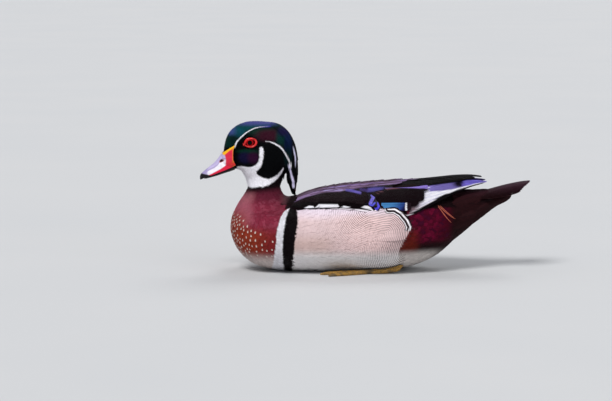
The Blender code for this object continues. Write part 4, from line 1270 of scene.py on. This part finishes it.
def make_eyes():
    for half, sign in (("left", -1), ("right", 1)):
        w = Wiring(f"eye_{half}_glass")
        place = w.node("TexCoord").outputs["Object"]
        x, y, z = w.node("SeparateXYZ", {0: place}).outputs
        across = w.math("POWER", w.math("SUBTRACT", x, -0.1256), 2)
        upward = w.math("POWER", w.math("SUBTRACT", z, 0.1413), 2)
        off = w.math("POWER", w.math("ADD", across, upward), 0.5)
        iris = w.mix(w.noise(1400, 2, stretch=(1, 0.2, 1)), rgba(120, 2, 6), rgba(190, 10, 14))
        iris = w.mix(w.ramp(off, 0.0034, 0.0042), iris, rgba(70, 1, 4))
        colour = w.mix(w.ramp(off, 0.0025, 0.0028), (0.002, 0.002, 0.002, 1), iris)
        glass = w.surface(colour, 0.12, Coat_Weight=0.05, Coat_Roughness=0.04, Specular_IOR_Level=0.02)
        ball = bmesh.new()
        bmesh.ops.create_uvsphere(ball, u_segments=48, v_segments=24, radius=EYE_RADIUS)
        bmesh.ops.rotate(ball, verts=ball.verts, cent=(0, 0, 0), matrix=Matrix.Rotation(math.pi / 2, 3, "X"))
        bmesh.ops.translate(ball, verts=ball.verts, vec=(EYE.x, sign * EYE.y, EYE.z))
        bmesh.ops.scale(ball, verts=ball.verts, vec=(MM, MM, MM))
        mesh = bpy.data.meshes.new(f"eyeball_{half}")
        ball.to_mesh(mesh)
        ball.free()
        mesh.shade_smooth()
        new_piece(f"eyeball_{half}", mesh, glass, f"eye_{half}")
        lid = bmesh.new()
        upright = Matrix.Translation((6.1, 0, 0)) @ Matrix.Rotation(math.pi / 2, 4, "X")
        bmesh.ops.create_circle(lid, segments=12, radius=1.25, matrix=upright)
        whole = {"cent": (0, 0, 0), "axis": (0, 0, 1), "angle": 2 * math.pi, "steps": 40}
        bmesh.ops.spin(lid, geom=lid.verts[:] + lid.edges[:], use_merge=True, **whole)
        bmesh.ops.remove_doubles(lid, verts=lid.verts, dist=1e-4)
        for v in lid.verts:
            angle = math.atan2(v.co.y, v.co.x)
            r = math.hypot(v.co.x, v.co.y)
            # almond, drawn out to the front, where x is negative, and lower there
            ahead = max(0, -math.cos(angle))
            v.co.x = r * (1.05 + 0.06 * ahead**6) * math.cos(angle)
            v.co.y = r * 0.77 * math.sin(angle) + sign * (0.4 * max(0, math.cos(angle)) ** 2 - 1.9 * ahead**3)
            v.co.z *= 0.7
        lean = Matrix.Rotation(sign * math.radians(90), 4, "X")
        bmesh.ops.transform(lid, matrix=lean, verts=lid.verts)
        for v in lid.verts:
            out = (v.co.x + 0.2, v.co.z)
            bulge = max(0.0, EYE_RADIUS**2 - out[0] ** 2 - out[1] ** 2) ** 0.5
            place = Vector((EYE.x + 0.5 + v.co.x, 60, EYE.z + v.co.z))
            head = surface.ray_cast(place, Vector((0, -1, 0)))[0]
            place.y = sign * max(EYE.y + 0.35 + bulge * 0.94, head.y + 0.55) + v.co.y
            v.co = place
        bmesh.ops.recalc_face_normals(lid, faces=lid.faces)
        bmesh.ops.scale(lid, verts=lid.verts, vec=(MM, MM, MM))
        rim = bpy.data.meshes.new(f"eye_ring_{half}")
        lid.to_mesh(rim)
        lid.free()
        rim.shade_smooth()
        skin_red = Wiring(f"eye_ring_{half}_skin")
        cloud = skin_red.noise(900, 4)
        skin_red.bump(cloud, 0.0002, 0.7)
        red = skin_red.mix(cloud, rgba(176, 6, 14), rgba(236, 34, 30))
        new_piece(f"eye_ring_{half}", rim, skin_red.surface(red, 0.4, Coat_Weight=0.1), slot="head")


def make_legs():
    w = Wiring("foot_skin")
    cell = w.node("TexVoronoi", {"Scale": 620}, feature="DISTANCE_TO_EDGE").outputs["Distance"]
    w.join(w.node("TexCoord").outputs["Object"], w.tree.nodes["Voronoi Texture"].inputs["Vector"])
    scale_edge = w.ramp(cell, 0.0, 0.12)
    colour = w.mix(scale_edge, rgba(70, 50, 20), rgba(176, 132, 52))
    colour = w.mix(w.ramp(w.noise(90, 3), 0.45, 0.65), colour, rgba(90, 72, 44))
    w.bump(scale_edge, 0.0003, 0.8)
    skin_finish = w.surface(colour, w.math("MULTIPLY_ADD", w.noise(300, 3), 0.2, 0.4))
    for name in ("leg_left", "leg_right", "foot_left", "foot_right"):
        nodes[name].data.materials.clear()
        nodes[name].data.materials.append(skin_finish)


def make_studio():
    floor = bmesh.new()
    bmesh.ops.create_grid(floor, x_segments=1, y_segments=1, size=40)
    mesh = bpy.data.meshes.new("floor")
    floor.to_mesh(mesh)
    floor.free()
    ground = bpy.data.objects.new("floor", mesh)
    bpy.context.scene.collection.objects.link(ground)
    w = Wiring("pale_floor")
    pale = w.mix(w.noise(3, 2), (0.56, 0.57, 0.58, 1), (0.6, 0.6, 0.6, 1))
    mesh.materials.append(w.surface(pale, 0.8))
    bpy.context.scene.view_settings.view_transform = "Standard"
    world = bpy.data.worlds.new("studio")
    world.use_nodes = True
    world.node_tree.nodes["Background"].inputs[0].default_value = (0.9, 0.93, 1.0, 1)
    world.node_tree.nodes["Background"].inputs[1].default_value = 0.4
    bpy.context.scene.world = world
    for name, place, strength, spread in (
        ("key", (-0.45, -1.0, 1.25), 2.3, 22), ("fill", (0.9, -1.0, 0.5), 0.45, 40),
        ("rim", (0.4, 1.0, 1.1), 0.8, 30),
    ):
        light = bpy.data.lights.new(name, "SUN")
        light.energy = strength
        light.angle = math.radians(spread)
        lamp = bpy.data.objects.new(name, light)
        lamp.rotation_euler = (-Vector(place)).to_track_quat("-Z", "Y").to_euler()
        bpy.context.scene.collection.objects.link(lamp)
    lens = bpy.data.cameras.new("camera")
    lens.sensor_fit = "HORIZONTAL"
    lens.sensor_width = 36
    lens.lens = 36 * DISTANCE / PICTURE_WIDTH
    lens.clip_end = 50
    camera = bpy.data.objects.new("camera", lens)
    aim, tilt = Vector((AIM_X, 0, AIM_Z)) * MM, math.radians(6)
    camera.location = aim + Vector((0, -math.cos(tilt), math.sin(tilt))) * DISTANCE * MM
    camera.rotation_euler = (aim - camera.location).to_track_quat("-Z", "Y").to_euler()
    bpy.context.scene.collection.objects.link(camera)
    bpy.context.scene.camera = camera


def down_finish():
    """The soft skin between the feathers, in the same colours."""
    w = Wiring("down")
    paint = w.node("Attribute", attribute_name="paint").outputs["Color"]
    fuzz = w.noise(700, 4)
    w.bump(fuzz, 0.0004)
    colour = w.mix(1.0, paint, w.math("MULTIPLY_ADD", fuzz, 0.3, 0.85), "MULTIPLY")
    return w.surface(colour, 0.8, Specular_IOR_Level=0.05)


new_piece("skin", skin, down_finish(), "torso", "neck", "head")
coat_pieces()
wing_feathers()
tail_feathers()
crest_feathers()
make_bill()
make_eyes()
make_legs()
make_studio()
